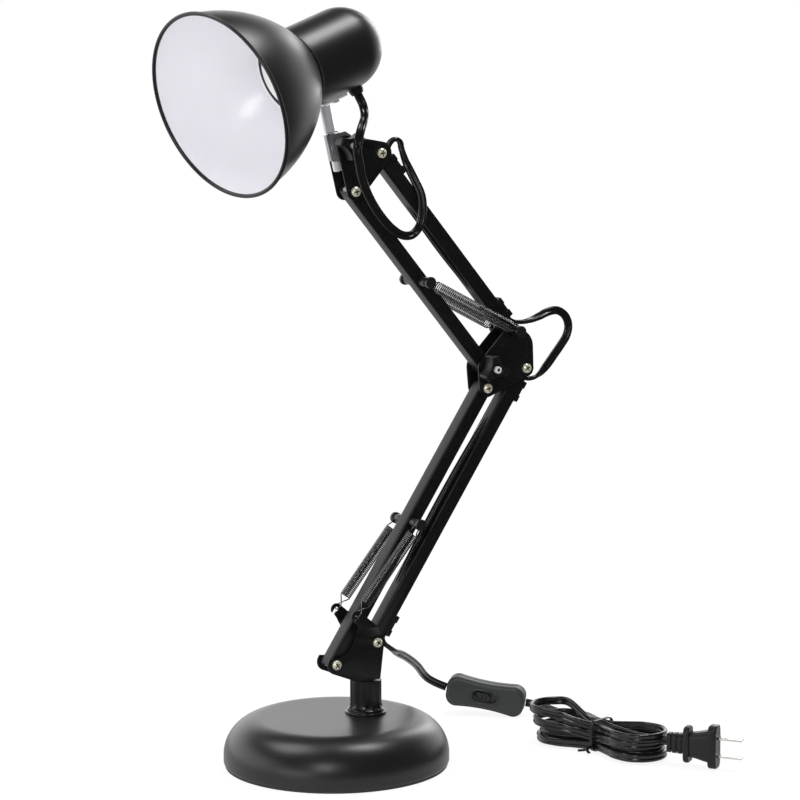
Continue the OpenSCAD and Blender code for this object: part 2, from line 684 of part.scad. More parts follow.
module lamp_cup() color(black_enamel) difference() {
    rotate_about_head() {
        difference() {
            union() {
                translate([0, cup_start]) square([cup_r, cup_len]);
                translate([0, cup_end]) intersection() {
                    circle(cup_r, $fn = 96);
                    square(cup_r);
                }
            }
            translate([0, cup_start - 1]) square([cup_r - shade_wall, cup_len + 1]);
            translate([0, cup_end]) circle(cup_r - shade_wall, $fn = 96);
        }
        translate([cup_r - 3, shade_depth + 0.8]) square([3 - shade_wall + eps, 5]);
        translate([cup_r - eps, cup_start]) square([0.6, lip]);
    }
    on_head() strap_bore(running);
    on_gland() translate([-5, 0, 0]) rotate([0, 90, 0]) cylinder(d = gland_neck_d + 2 * running, h = 7, $fn = 32);
}

module lampholder() color("#3a342f") difference() {
    rotate_about_head() {
        translate([0, shade_depth - 6]) square([holder_r, holder_len]);
        translate([0, shade_depth - 3.2]) square([holder_r + 4, 2.8]);
    }
    on_head() translate([0, 0, shade_depth - 7])
        cylinder(r = lamp_bore_d / 2 + shell_wall + running, h = 34);
}

module screw_shell() color("#b8964a") rotate_about_head() difference() {
    translate([0, shade_depth - 5]) square([lamp_bore_d / 2 + shell_wall, 31.9]);
    translate([0, shade_depth - 6]) square([lamp_bore_d / 2, 31.9 + 1 - shell_wall]);
}

strap_screw_d = 3;
strap_screw_station = stem_station + 6.8;
strap_start = stem_station - 7.6;
strap_len = 22.6;
gland_station = cup_end - 2;
gland_turn = 12;
gland_h = 5;
gland_neck_d = 7;

module stem_strap() color(chrome_plate) on_head() difference() {
    intersection() {
        translate([0, 0, strap_start]) difference() {
            cylinder(r = cup_r + running + strap_t, h = strap_len, $fn = 96);
            translate([0, 0, -1]) cylinder(r = cup_r + running, h = strap_len + 2, $fn = 96);
        }
        translate([-cup_r - 3, 0, strap_start + strap_len / 2]) rotate([0, 90, 0]) linear_extrude(8) {
            square([strap_len - 5, 12], center = true);
            square([strap_len, 7], center = true);
            for (sx = [-1, 1], sy = [-1, 1]) translate([sx * (strap_len / 2 - 2.5), sy * 3.5]) circle(2.5);
        }
    }
    strap_bore(running);
}

// Space of the screw that holds the strap on the cup
module strap_bore(gap) translate([-cup_r - strap_t - 1, 0, strap_screw_station]) rotate([0, 90, 0])
    cylinder(d = strap_screw_d + 2 * gap, h = strap_t + shade_wall + 3, $fn = 24);

module strap_screw() color(zinc_plate) on_head()
    translate([-cup_r - running - strap_t, 0, strap_screw_station]) rotate([0, -90, 0]) {
        cylinder(d = 6, h = 1.8);
        translate([0, 0, -strap_t - shade_wall - 1]) cylinder(d = strap_screw_d, h = strap_t + shade_wall + 1 + eps,
            $fn = 24);
    }

// Puts the cord gland's own frame (X away from the cup) on the cup
module on_gland() on_head() rotate([0, 0, -gland_turn]) translate([-cup_r, 0, gland_station])
    rotate([0, 180, 0]) children();

module cord_gland() color(black_plastic) {
    on_gland() difference() {
        translate([-1.5, -4.5, -4.5]) cube([gland_h + 1.5, 9, 9]);
        translate([-cup_r, 0, -10]) cylinder(r = cup_r, h = 20, $fn = 96);
    }
    on_gland() translate([-shade_wall - 1.2, 0, 0]) rotate([0, 90, 0])
        cylinder(d = gland_neck_d, h = shade_wall + 2.2, $fn = 32);
}

// --- Free cord, switch, hank and plug ---
module elbow_cord() color(black_plastic) sweep(elbow_route, cord_section, [0, 1, 0]);
module head_cord() color(black_plastic) sweep(head_route, cord_section, [0, 1, 0], 90);
module main_cord() color(black_plastic) sweep(main_route, cord_section, [0, 1, 0]);
module switch_cord() color(black_plastic) sweep(switch_route, cord_section, up);

module waisted(length, high) difference() {
    r = switch_corner;
    union() {
        square([length - 2 * r, high], center = true);
        square([length, high - 2 * r], center = true);
        for (sx = [-1, 1], sy = [-1, 1]) translate([sx * (length / 2 - r), sy * (high / 2 - r)]) circle(r);
    }
    for (s = [-1, 1]) translate([0, s * (high / 2 + 148.4)]) circle(150, $fn = 96);
}

// Puts the switch's own frame (X along it, Y out of its back, Z up) on the table, with its inlet end raised
module on_switch() on_table(switch_at, switch_heading) translate([0, 0, switch_rise]) rotate([0, switch_tilt, 0])
    children();

// One half of the case: its joint face on the seam, and a smaller raised face on the outside
module switch_half(seam, shoulder, face) {
    through(min(seam, shoulder), max(seam, shoulder)) waisted(switch_len, switch_h);
    through(min(seam, face), max(seam, face)) waisted(switch_len - 2 * switch_edge, switch_h - 2 * switch_edge);
}

module slot(length, high) {
    square([length - high, high], center = true);
    for (s = [-1, 1]) translate([s * (length - high) / 2, 0]) circle(d = high);
}

switch_rise = (switch_len / 2 - switch_corner) * sin(switch_tilt)
    + (switch_h / 2 - switch_corner) * cos(switch_tilt) + switch_corner;
slider_travel = 4;
slider_len = 13;
slider_h = 6;
module switch_front() color(black_plastic) on_switch() difference() {
    switch_half(0, -switch_t / 2 + switch_edge, -switch_t / 2);
    through(-switch_t, -switch_t / 2 + 3)
        slot(slider_len + slider_travel + 1.4, slider_h + 1);
}

module switch_back() color(black_plastic) on_switch()
    switch_half(0, switch_t / 2 - switch_edge, switch_t / 2);

module switch_slider() color(black_plastic) on_switch()
    translate([-slider_travel / 2, 0, 0]) difference() {
        through(-switch_t / 2 - 1, -switch_t / 2 + 2.8) slot(slider_len, slider_h);
        for (i = [-1 : 1]) through(-switch_t, -switch_t / 2 - 0.4)
            translate([3 * i, 0]) square([0.9, 4], center = true);
    }

module hank_outline() {
    end = hank_len / 2 - hank_w / 2;
    for (s = [-1, 1]) translate([s * end, 0]) circle(d = hank_w);
    difference() {
        square([2 * end, hank_w], center = true);
        for (s = [-1, 1]) translate([0, s * (hank_w / 2 + 92)]) circle(100, $fn = 96);
    }
}

module cord_hank() color(black_plastic) on_table(hank_at, hank_heading)
    translate([0, 0, tie_t]) linear_extrude(hank_h) hank_outline();

module hank_tie() color("#2c2c30") on_table(hank_at, hank_heading) difference() {
    w = hank_w - 16;
    translate([-tie_w / 2, -w / 2 - tie_t - 0.2, 0]) cube([tie_w, w + 2 * tie_t + 0.4, hank_h + 2 * tie_t]);
    translate([-tie_w, -w / 2 - 0.2, tie_t]) cube([2 * tie_w, w + 0.4, hank_h]);
}

plug_z = 16;
module plug_outline() {
    translate([17, plug_z]) square([24, 22], center = true);
    translate([8, plug_z]) square([4, 26], center = true);
    translate([27, plug_z]) square([6, 31], center = true);
    for (i = [0 : 2]) translate([-5 + 4 * i, plug_z]) square([2.6, 14], center = true);
    translate([-1, plug_z]) square([14, 11.5], center = true);
}

module plug_body() color(black_plastic) on_table(plug_at, plug_heading) intersection() {
    through(-20, 20) plug_outline();
    translate([-10, 0, plug_z]) rotate([90, 0, 90]) linear_extrude(60) {
        r = 6.5;
        for (s = [-1, 1]) translate([0, s * 9]) circle(r);
        square([2 * r, 18], center = true);
    }
}

module plug_blades() color(zinc_plate) on_table(plug_at, plug_heading) for (s = [-1, 1]) difference() {
    translate([30, -3.2, plug_z + s * blade_pitch / 2 - 0.75]) cube([17.5, 6.4, 1.5]);
    translate([44, 0, plug_z]) cylinder(d = 3, h = 40, center = true, $fn = 24);
}

base_shell();
base_weight();
foot_pad();
socket_bush();
socket_nut();
base_bracket();
swivel_pin();
base_pivot_screws();
base_pivot_nuts();
lower_front_bar();
lower_front_bushes();
lower_spring_stud();
lower_spring_near();
lower_spring_far();
lower_rear_bar();
lower_rear_bushes();
lower_cord_clips();
lower_arm_cord();
elbow_near_plate();
elbow_far_plate();
elbow_pivot_screws();
elbow_pivot_nuts();
elbow_clamp_bolt();
elbow_spring_pin();
elbow_knob();
upper_front_bar();
upper_front_bushes();
upper_spring_stud();
upper_spring_near();
upper_spring_far();
upper_rear_bar();
upper_rear_bushes();
upper_cord_clips();
upper_arm_cord();
head_near_plate();
head_far_plate();
head_pivot_screws();
head_pivot_nuts();
head_clamp_bolt();
head_knob();
stem_clamp();
head_stem();
stem_strap();
strap_screw();
lamp_cup();
shade();
lampholder();
screw_shell();
cord_gland();
elbow_cord();
head_cord();
main_cord();
switch_cord();
cord_hank();
hank_tie();
switch_front();
switch_back();
switch_slider();
plug_body();
plug_blades();
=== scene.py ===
# %% Load the fixed frame
import json
import math

import bmesh
import bpy
import numpy as np
from mathutils import Matrix, Vector


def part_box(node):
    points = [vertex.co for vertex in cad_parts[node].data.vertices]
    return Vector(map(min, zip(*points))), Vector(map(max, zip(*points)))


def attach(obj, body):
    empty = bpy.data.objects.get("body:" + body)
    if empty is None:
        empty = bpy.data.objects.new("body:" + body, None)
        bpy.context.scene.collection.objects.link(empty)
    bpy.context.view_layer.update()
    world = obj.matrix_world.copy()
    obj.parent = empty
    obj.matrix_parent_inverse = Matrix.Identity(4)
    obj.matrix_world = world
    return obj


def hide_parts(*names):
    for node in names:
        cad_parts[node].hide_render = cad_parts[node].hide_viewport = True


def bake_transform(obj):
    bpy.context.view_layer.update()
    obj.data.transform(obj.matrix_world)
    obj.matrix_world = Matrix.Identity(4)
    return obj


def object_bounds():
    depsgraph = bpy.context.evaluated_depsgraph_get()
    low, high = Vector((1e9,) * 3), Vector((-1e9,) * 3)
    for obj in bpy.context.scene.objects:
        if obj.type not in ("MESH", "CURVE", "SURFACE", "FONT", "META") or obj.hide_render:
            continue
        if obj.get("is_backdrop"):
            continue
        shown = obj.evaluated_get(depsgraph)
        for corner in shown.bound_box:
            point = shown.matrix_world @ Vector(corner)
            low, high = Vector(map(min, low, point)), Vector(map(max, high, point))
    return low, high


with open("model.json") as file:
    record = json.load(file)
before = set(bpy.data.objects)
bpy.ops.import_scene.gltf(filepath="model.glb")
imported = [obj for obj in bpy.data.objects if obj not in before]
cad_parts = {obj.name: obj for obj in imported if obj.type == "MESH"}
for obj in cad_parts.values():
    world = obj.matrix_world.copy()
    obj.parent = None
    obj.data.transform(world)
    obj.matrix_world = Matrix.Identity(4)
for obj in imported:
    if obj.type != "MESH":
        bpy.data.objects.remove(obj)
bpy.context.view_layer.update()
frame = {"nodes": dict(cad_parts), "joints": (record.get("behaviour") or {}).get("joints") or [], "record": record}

MM = 0.001

# %% [markdown]
# # A swing arm desk lamp
# The solids of the lamp are already here, as the fixed frame. What follows dresses them: it makes the finer
# meshes that a close look needs, and the finishes. A piece always takes its place from the frame, so first
# come the lamp's own landmarks: the pivots that its joints turn on, and the axis of its head.

# %% Landmarks of the lamp
joints = {j["name"]: j for j in frame["joints"]}
mounts = {m["name"]: m for m in frame["record"]["mounts"]}


def pivot(joint):
    return Vector(joints[joint]["pos_m"])


base_front, base_rear = pivot("lower_front_link"), pivot("lower_arm")
elbow_rear, knee_rear = pivot("elbow_level"), pivot("upper_arm")
elbow_front = elbow_rear + base_front - base_rear
knee_front = pivot("upper_front_link")
head_rear, clamp_point = pivot("head_level"), pivot("head_tilt")
head_front = head_rear + knee_front - knee_rear
swivel_axis = pivot("arm_swivel")
stem_foot, stem_up = pivot("head_swivel"), Vector(joints["head_swivel"]["axis"]).normalized()
SOCKET_STATION = 75 * MM
head_z = -Vector(mounts["lamp_socket"]["axis"]).normalized()
rim_centre = Vector(mounts["lamp_socket"]["pos_m"]) - SOCKET_STATION * head_z
head_x = (stem_up - stem_up.dot(head_z) * head_z).normalized()
head_y = head_z.cross(head_x)
on_head = Matrix.Translation(rim_centre) @ Matrix((head_x, head_y, head_z)).transposed().to_4x4()
print("rim centre, mm:", [round(x / MM, 2) for x in rim_centre])

# %% [markdown]
# ## The camera
# A lamp this tall is taken from well back with a long lens, so that its arms keep their true angles. The
# camera stands to the front left and a little above, and looks at a point half way up the arms.

# %% Camera
scene = bpy.context.scene
camera_data = bpy.data.cameras.new("portrait_camera")
camera = bpy.data.objects.new("portrait_camera", camera_data)
scene.collection.objects.link(camera)
scene.camera = camera
look_at = Vector((53.05, 0, 256.16)) * MM
stand = Vector((-856.4, -1576.6, 494.8)) * MM
CAMERA_ROLL = math.radians(-0.21)
SENSOR_WIDTH, FOCAL_LENGTH = 36, 116.8
facing = (look_at - stand).to_track_quat("-Z", "Y").to_matrix().to_4x4()
camera.matrix_world = Matrix.Translation(stand) @ facing @ Matrix.Rotation(CAMERA_ROLL, 4, "Z")
camera_data.sensor_width, camera_data.lens = SENSOR_WIDTH, FOCAL_LENGTH
camera_data.clip_start, camera_data.clip_end = 0.05, 30
print("camera distance, m:", round((look_at - stand).length, 3))

# %% [markdown]
# ## Small tools for meshes
# Most of the lamp is sheet steel, turned parts and cord. Three helpers cover them: one makes a mesh from
# points and faces, one turns a profile round an axis as a lathe does, and one copies a solid of the frame
# and rounds its edges. A rounded edge catches a thin line of light, and without it painted steel looks like
# cut paper.


# %% Mesh from points and faces
WELD = 0.001 * MM


def new_piece(name, points, faces, smooth=True):
    mesh = bpy.data.meshes.new(name)
    mesh.from_pydata([tuple(p) for p in points], [], faces)
    piece = bpy.data.objects.new(name, mesh)
    scene.collection.objects.link(piece)
    closed(piece)
    mesh.shade_smooth() if smooth else mesh.shade_flat()
    return piece


def closed(piece):
    """Welds doubles and points the faces outwards."""
    b = bmesh.new()
    b.from_mesh(piece.data)
    bmesh.ops.remove_doubles(b, verts=b.verts, dist=WELD)
    bmesh.ops.recalc_face_normals(b, faces=b.faces)
    b.to_mesh(piece.data)
    b.free()
    return piece


def placed(piece, matrix):
    piece.data.transform(matrix)
    if matrix.to_3x3().determinant() < 0:
        piece.data.flip_normals()
    piece.data.update()
    return piece


def baked(piece):
    """Replaces a piece's mesh by what its modifiers make of it."""
    deps = bpy.context.evaluated_depsgraph_get()
    deps.update()
    made = bpy.data.meshes.new_from_object(piece.evaluated_get(deps), preserve_all_data_layers=True,
                                           depsgraph=deps)
    piece.modifiers.clear()
    piece.data = made
    return piece


def joined(name, pieces):
    """One mesh from several, with their materials kept."""
    materials, b = [], bmesh.new()
    for piece in pieces:
        for m in piece.data.materials:
            if m not in materials:
                materials.append(m)
        start = len(b.faces)
        b.from_mesh(piece.data)
        b.faces.ensure_lookup_table()
        for face in b.faces[start:]:
            own = piece.data.materials[face.material_index] if piece.data.materials else None
            face.material_index = materials.index(own) if own in materials else 0
    mesh = bpy.data.meshes.new(name)
    b.to_mesh(mesh)
    b.free()
    for m in materials:
        mesh.materials.append(m)
    for piece in pieces:
        bpy.data.objects.remove(piece)
    result = bpy.data.objects.new(name, mesh)
    scene.collection.objects.link(result)
    return result


# %% The lathe
def rounded(profile, steps=6):
    """A profile of (radius, height, fillet) as points (radius, height), with an arc at each corner that has
    a fillet."""
    points = [Vector(p[:2]) for p in profile]
    result = []
    for i, p in enumerate(points):
        fillet = profile[i][2] if len(profile[i]) > 2 else 0
        if not fillet or i in (0, len(points) - 1):
            result.append(p)
            continue
        a, b = (points[i - 1] - p), (points[i + 1] - p)
        half = a.angle(b) / 2
        reach = min(fillet / math.tan(half), 0.49 * a.length, 0.49 * b.length)
        start, end = p + a.normalized() * reach, p + b.normalized() * reach
        for k in range(steps + 1):
            t = k / steps
            result.append((1 - t) ** 2 * start + 2 * t * (1 - t) * p + t * t * end)
    return [(p.x, p.y) for p in result]


def turned(name, profile, matrix, steps=128, flutes=None):
    """Turns points (radius, height) in mm round Z. A profile that starts and ends off the axis is closed."""
    rows, n = len(profile), steps
    shut = profile[0][0] > 0 or profile[-1][0] > 0
    points, faces = [], []
    for r, z in profile:
        for k in range(n):
            a = 2 * math.pi * k / n
            cut = flutes(a, r, z) if flutes else 0
            points.append(((r - cut) * math.cos(a) * MM, (r - cut) * math.sin(a) * MM, z * MM))
    for i in range(rows if shut else rows - 1):
        j = (i + 1) % rows
        for k in range(n):
            m = (k + 1) % n
            faces.append((i * n + k, i * n + m, j * n + m, j * n + k))
    return placed(new_piece(name, points, faces), matrix)


def crisp(piece, angle=40):
    """Smooth shading that breaks at edges sharper than the angle."""
    piece.data.shade_smooth()
    piece.data.set_sharp_from_angle(angle=math.radians(angle))
    return piece


# %% A frame solid with rounded edges
FLAT_ENOUGH = math.radians(0.6)


def softened(node, edge=0.3, segments=2, name=None, angle=32):
    """A welded copy of a frame node, its edges rounded by edge mm where they turn by more than an angle."""
    piece = bpy.data.objects.new(name or node + "_finish", frame["nodes"][node].data.copy())
    scene.collection.objects.link(piece)
    piece.data.materials.clear()
    b = bmesh.new()
    b.from_mesh(piece.data)
    bmesh.ops.remove_doubles(b, verts=b.verts, dist=2 * WELD)
    bmesh.ops.dissolve_limit(b, angle_limit=FLAT_ENOUGH, verts=b.verts, edges=b.edges)
    b.to_mesh(piece.data)
    b.free()
    bevel = piece.modifiers.new("edge", "BEVEL")
    bevel.width = edge * MM
    bevel.segments = segments
    bevel.limit_method = "ANGLE"
    bevel.angle_limit = math.radians(angle)
    bevel.harden_normals = False
    baked(piece)
    return crisp(piece, 34)


def standing_for(piece, node, body, material=None):
    """The piece takes the node's place: it rides on the body and carries the slot's finish."""
    if material is not None:
        piece.data.materials.clear()
        piece.data.materials.append(material)
    for n in [node] if isinstance(node, str) else node:
        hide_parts(n)
    if body:
        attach(piece, body)
    return piece


print("mesh tools ready")

# %% [markdown]
# ## Finishes
# Nothing here is a picture: each finish is computed from the place on the surface. Three node groups give
# what several finishes share. Fine grain is the tooth of powder coat and moulded plastic. Uneven sheen is
# the slow change of gloss that every sprayed or moulded surface has. Drawn lines are the fine scratches
# that drawing, rolling or turning leaves on metal. The groups put out values only, and each finish keeps
# its own shader.


# %% Shared node groups
def shader_group(name, inputs, outputs):
    tree = bpy.data.node_groups.new(name, "ShaderNodeTree")
    tree.interface.new_socket("Place", in_out="INPUT", socket_type="NodeSocketVector")
    for label, value in inputs.items():
        socket = tree.interface.new_socket(label, in_out="INPUT", socket_type="NodeSocketFloat")
        socket.default_value = value
    for label in outputs:
        tree.interface.new_socket(label, in_out="OUTPUT", socket_type="NodeSocketFloat")
    return tree, tree.nodes.new("NodeGroupInput"), tree.nodes.new("NodeGroupOutput")


def maths(tree, operation, a, b=None, clamp=False):
    node = tree.nodes.new("ShaderNodeMath")
    node.operation = operation
    node.use_clamp = clamp
    for i, value in enumerate((a, b)):
        if value is None:
            continue
        if isinstance(value, (int, float)):
            node.inputs[i].default_value = value
        else:
            tree.links.new(value, node.inputs[i])
    return node.outputs[0]


def noise(tree, place, scale, detail=2.0):
    node = tree.nodes.new("ShaderNodeTexNoise")
    tree.links.new(place, node.inputs["Vector"])
    if isinstance(scale, (int, float)):
        node.inputs["Scale"].default_value = scale
    else:
        tree.links.new(scale, node.inputs["Scale"])
    node.inputs["Detail"].default_value = detail
    return node.outputs[0]


fine_grain, given, out = shader_group("fine_grain", {"Grains per Metre": 1500.0, "Contrast": 1.0},
                                      ["Height", "Speck"])
grain = noise(fine_grain, given.outputs["Place"], given.outputs["Grains per Metre"], 3.0)
spread = maths(fine_grain, "MULTIPLY", maths(fine_grain, "SUBTRACT", grain, 0.5), given.outputs["Contrast"])
fine_grain.links.new(maths(fine_grain, "ADD", spread, 0.5, clamp=True), out.inputs["Height"])
bright = maths(fine_grain, "MULTIPLY", maths(fine_grain, "SUBTRACT", grain, 0.56), 7.0, clamp=True)
fine_grain.links.new(bright, out.inputs["Speck"])

uneven_sheen, given, out = shader_group(
    "uneven_sheen", {"Patches per Metre": 18.0, "Roughness": 0.4, "Spread": 0.05}, ["Roughness", "Tone"])
patch = noise(uneven_sheen, given.outputs["Place"], given.outputs["Patches per Metre"], 4.0)
swing = maths(uneven_sheen, "MULTIPLY", maths(uneven_sheen, "SUBTRACT", patch, 0.5), given.outputs["Spread"])
uneven_sheen.links.new(maths(uneven_sheen, "ADD", given.outputs["Roughness"], swing),
                       out.inputs["Roughness"])
uneven_sheen.links.new(patch, out.inputs["Tone"])

drawn_lines, given, out = shader_group("drawn_lines", {"Lines per Metre": 4000.0, "Stretch": 40.0},
                                       ["Height"])
along = drawn_lines.nodes.new("ShaderNodeSeparateXYZ")
drawn_lines.links.new(given.outputs["Place"], along.inputs[0])
across = drawn_lines.nodes.new("ShaderNodeCombineXYZ")
drawn_lines.links.new(along.outputs["X"], across.inputs["X"])
drawn_lines.links.new(along.outputs["Y"], across.inputs["Y"])
drawn_lines.links.new(maths(drawn_lines, "DIVIDE", along.outputs["Z"], given.outputs["Stretch"]),
                      across.inputs["Z"])
drawn_lines.links.new(noise(drawn_lines, across.outputs[0], given.outputs["Lines per Metre"], 2.0),
                      out.inputs["Height"])
print("node groups:", [g.name for g in bpy.data.node_groups])


# %% Building a finish
def finish(name, colour, rough, metal=0.0, grains=1500.0, contrast=1.0, depth=0.02, spread=0.05,
           patches=18.0, second=None, speck=0.0, lines=0.0, turn=None, **sockets):
    """A finish of the given colour. depth is the height of its grain in mm, and second the colour of its
    patches or specks."""
    material = bpy.data.materials.new(name)
    material.use_nodes = True
    material.diffuse_color = (*colour, 1)
    tree = material.node_tree
    shader = tree.nodes["Principled BSDF"]
    place = tree.nodes.new("ShaderNodeTexCoord").outputs["Object"]
    if turn:
        mapping = tree.nodes.new("ShaderNodeMapping")
        mapping.inputs["Rotation"].default_value = turn
        tree.links.new(place, mapping.inputs["Vector"])
        place = mapping.outputs[0]

    def group(tree_group, **values):
        node = tree.nodes.new("ShaderNodeGroup")
        node.node_tree = tree_group
        tree.links.new(place, node.inputs["Place"])
        for label, value in values.items():
            node.inputs[label.replace("_", " ")].default_value = value
        return node

    grain_node = group(fine_grain, Grains_per_Metre=grains, Contrast=contrast)
    sheen_node = group(uneven_sheen, Patches_per_Metre=patches, Roughness=rough, Spread=spread)
    tree.links.new(sheen_node.outputs["Roughness"], shader.inputs["Roughness"])
    mix = tree.nodes.new("ShaderNodeMix")
    mix.data_type = "RGBA"
    mix.inputs[6].default_value = (*colour, 1)
    mix.inputs[7].default_value = (*(second or [min(1, c * 1.25 + 0.003) for c in colour]), 1)
    factor = maths(tree, "MULTIPLY", grain_node.outputs["Speck"],
                   speck) if speck else sheen_node.outputs["Tone"]
    tree.links.new(factor, mix.inputs[0])
    tree.links.new(mix.outputs[2], shader.inputs["Base Color"])
    height = grain_node.outputs["Height"]
    if lines:
        line_node = group(drawn_lines, Lines_per_Metre=lines)
        height = maths(tree, "ADD", height, line_node.outputs["Height"])
    bump = tree.nodes.new("ShaderNodeBump")
    bump.inputs["Strength"].default_value = 1.0
    bump.inputs["Distance"].default_value = depth * MM
    tree.links.new(height, bump.inputs["Height"])
    tree.links.new(bump.outputs[0], shader.inputs["Normal"])
    shader.inputs["Metallic"].default_value = metal
    for label, value in sockets.items():
        shader.inputs[label.replace("_", " ")].default_value = value
    return material


smooth_black = finish("satin_black_enamel", (0.006, 0.006, 0.007), 0.34, grains=2600, depth=0.0008,
                      spread=0.06, Specular_IOR_Level=0.5)
shade_black = finish("shade_black_enamel", (0.005, 0.005, 0.006), 0.36, grains=2600, depth=0.0008,
                     spread=0.05, Specular_IOR_Level=0.5)
sandy_black = finish("sandy_black_coat", (0.003, 0.003, 0.0035), 0.42, grains=2200, contrast=1.4,
                     depth=0.014, speck=0.5, second=(0.04, 0.04, 0.038), Specular_IOR_Level=0.45)
shade_white = finish("white_inside_enamel", (0.80, 0.785, 0.835), 0.3, grains=1800, depth=0.004,
                     patches=9, second=(0.84, 0.83, 0.87), Specular_IOR_Level=0.5, Coat_Weight=0.25,
                     Coat_Roughness=0.15)
holder_white = finish("white_holder_moulding", (0.74, 0.72, 0.71), 0.32, grains=1500, depth=0.01,
                      spread=0.06)
clamp_chrome = finish("clamp_chrome", (0.52, 0.53, 0.55), 0.16, 0.75, grains=900, depth=0.004, spread=0.1,
                      patches=200, second=(0.34, 0.35, 0.37))
# The bright chrome and the zinc are only part metal: their light diffuse colour is painted reflection, which keeps
# them bright where the dark near side of the studio would mirror in them.
chrome = finish("chrome_with_painted_reflection", (0.84, 0.85, 0.87), 0.2, 0.4, grains=900, depth=0.003, spread=0.05,
                second=(0.72, 0.73, 0.76))
zinc = finish("yellow_zinc_with_painted_reflection", (0.80, 0.76, 0.58), 0.2, 0.5, grains=1400, depth=0.01, spread=0.12, patches=300,
              second=(0.66, 0.64, 0.54))
# Painted shade: a dark finish for the inserts that stand in for the shade in the screw recesses and on the bolt
# tips.
painted_shade = finish("painted_shade_dark", (0.012, 0.011, 0.008), 0.6, grains=1400, depth=0.01)
nickel = finish("bright_nickel", (0.72, 0.70, 0.66), 0.2, 1.0, grains=1400, depth=0.004, lines=3000,
                spread=0.1)
spring_black = finish("black_spring_wire", (0.10, 0.10, 0.105), 0.16, 1.0, grains=3000, depth=0.004,
                      spread=0.1, patches=400, second=(0.24, 0.24, 0.25))
plain_steel = finish("plain_steel", (0.5, 0.5, 0.51), 0.34, 1.0, grains=1500, depth=0.01, lines=2500,
                     spread=0.1)
iron = finish("cast_iron", (0.10, 0.10, 0.105), 0.7, 0.6, grains=600, contrast=2.0, depth=0.2, spread=0.1)
gloss_black = finish("gloss_black_moulding", (0.004, 0.004, 0.005), 0.24, grains=1200, depth=0.004,
                     spread=0.06, Specular_IOR_Level=0.5)
moulded_black = finish("moulded_black", (0.005, 0.005, 0.0055), 0.36, grains=2400, contrast=1.3, depth=0.03,
                       spread=0.08, Specular_IOR_Level=0.35)
case_grey = finish("grey_black_moulding", (0.028, 0.030, 0.030), 0.45, grains=2400, contrast=1.3, depth=0.03,
                   spread=0.06, Specular_IOR_Level=0.35)
cord_black = finish("cord_sheath", (0.004, 0.004, 0.0045), 0.24, grains=1600, depth=0.008, spread=0.1,
                    patches=60, Specular_IOR_Level=0.5)
tie_black = finish("tie_sheath", (0.006, 0.006, 0.007), 0.32, grains=1600, depth=0.01,
                   Specular_IOR_Level=0.4)
foam_grey = finish("foam_sheet", (0.03, 0.03, 0.03), 0.9, grains=900, contrast=2.0, depth=0.15, spread=0.05)
natural_nylon = finish("natural_nylon", (0.72, 0.71, 0.66), 0.4, grains=1500, depth=0.01, spread=0.06,
                       Subsurface_Weight=0.1, Subsurface_Scale=0.002)
brass = finish("rolled_brass", (0.72, 0.52, 0.24), 0.26, 1.0, grains=1200, depth=0.008, lines=2500,
               spread=0.1)
print("finishes:", len(bpy.data.materials))

# %% [markdown]
# ## The cord
# The lamp's lead is flat twin cord: two round wires side by side in one sheath, with a groove between them, so it
# bends easily one way and hardly at all the other. It is one lead in real life. It starts in the head, loops past
# the head's joints, runs down inside the rear bars, loops past the elbow and leaves at the base for the switch and
# the plug. Each free stretch is made here as a section swept along a smooth path. A stretch that passes a joint is
# split where the next joint starts.


# %% Smooth paths and swept sections
def pulled(a, b, start, end, t):
    return ((end - t) * a + (t - start) * b) / (end - start)


def smooth_path(points, spacing=1.5):
    """A smooth curve through points in mm, with points on it at an even spacing."""
    p = [Vector(q) for q in points]
    p = [2 * p[0] - p[1], *p, 2 * p[-1] - p[-2]]
    dense = []
    for i in range(1, len(p) - 2):
        q, k = p[i - 1:i + 3], [0.0]
        for a, b in zip(q, q[1:]):
            k.append(k[-1] + max((b - a).length, 1e-6) ** 0.5)
        for step in range(24):
            t = k[1] + (k[2] - k[1]) * step / 24
            a1, a2, a3 = (pulled(q[j], q[j + 1], k[j], k[j + 1], t) for j in range(3))
            b1, b2 = pulled(a1, a2, k[0], k[2], t), pulled(a2, a3, k[1], k[3], t)
            dense.append(pulled(b1, b2, k[1], k[2], t))
    dense.append(p[-2])
    run = np.array([0.0] + [(b - a).length for a, b in zip(dense, dense[1:])]).cumsum()
    xyz = np.array([list(v) for v in dense])
    even = np.linspace(0, run[-1], max(3, int(round(run[-1] / spacing)) + 1))
    return [Vector([np.interp(s, run, xyz[:, axis]) for axis in range(3)]) for s in even]


def length_of(path):
    return sum((b - a).length for a, b in zip(path, path[1:]))


def tangents_of(path):
    last = len(path) - 1
    return [(path[min(i + 1, last)] - path[max(i - 1, 0)]).normalized() for i in range(last + 1)]


def carried(path, first):
    """The side direction at each point of a path, carried along it without twist."""
    side, sides = Vector(first), []
    for t in tangents_of(path):
        side = (side - side.dot(t) * t).normalized()
        sides.append(side)
    return sides


def twisted(path, first, angles):
    """Carried sides, each turned on about the path by an angle."""
    return [math.cos(a) * s + math.sin(a) * t.cross(s)
            for t, s, a in zip(tangents_of(path), carried(path, first), angles)]


def shown_to(path, first, facing, weight):
    """Sides that swing from the carried direction until the flat of the cord faces the given way."""
    angles, last = [], 0
    for i, (t, side) in enumerate(zip(tangents_of(path), carried(path, first))):
        flat = t.cross(facing)
        a = math.atan2(flat.dot(t.cross(side)), flat.dot(side))
        last += (a - last + math.pi / 2) % math.pi - math.pi / 2
        angles.append(last * weight(i / (len(path) - 1)))
    return twisted(path, first, angles)


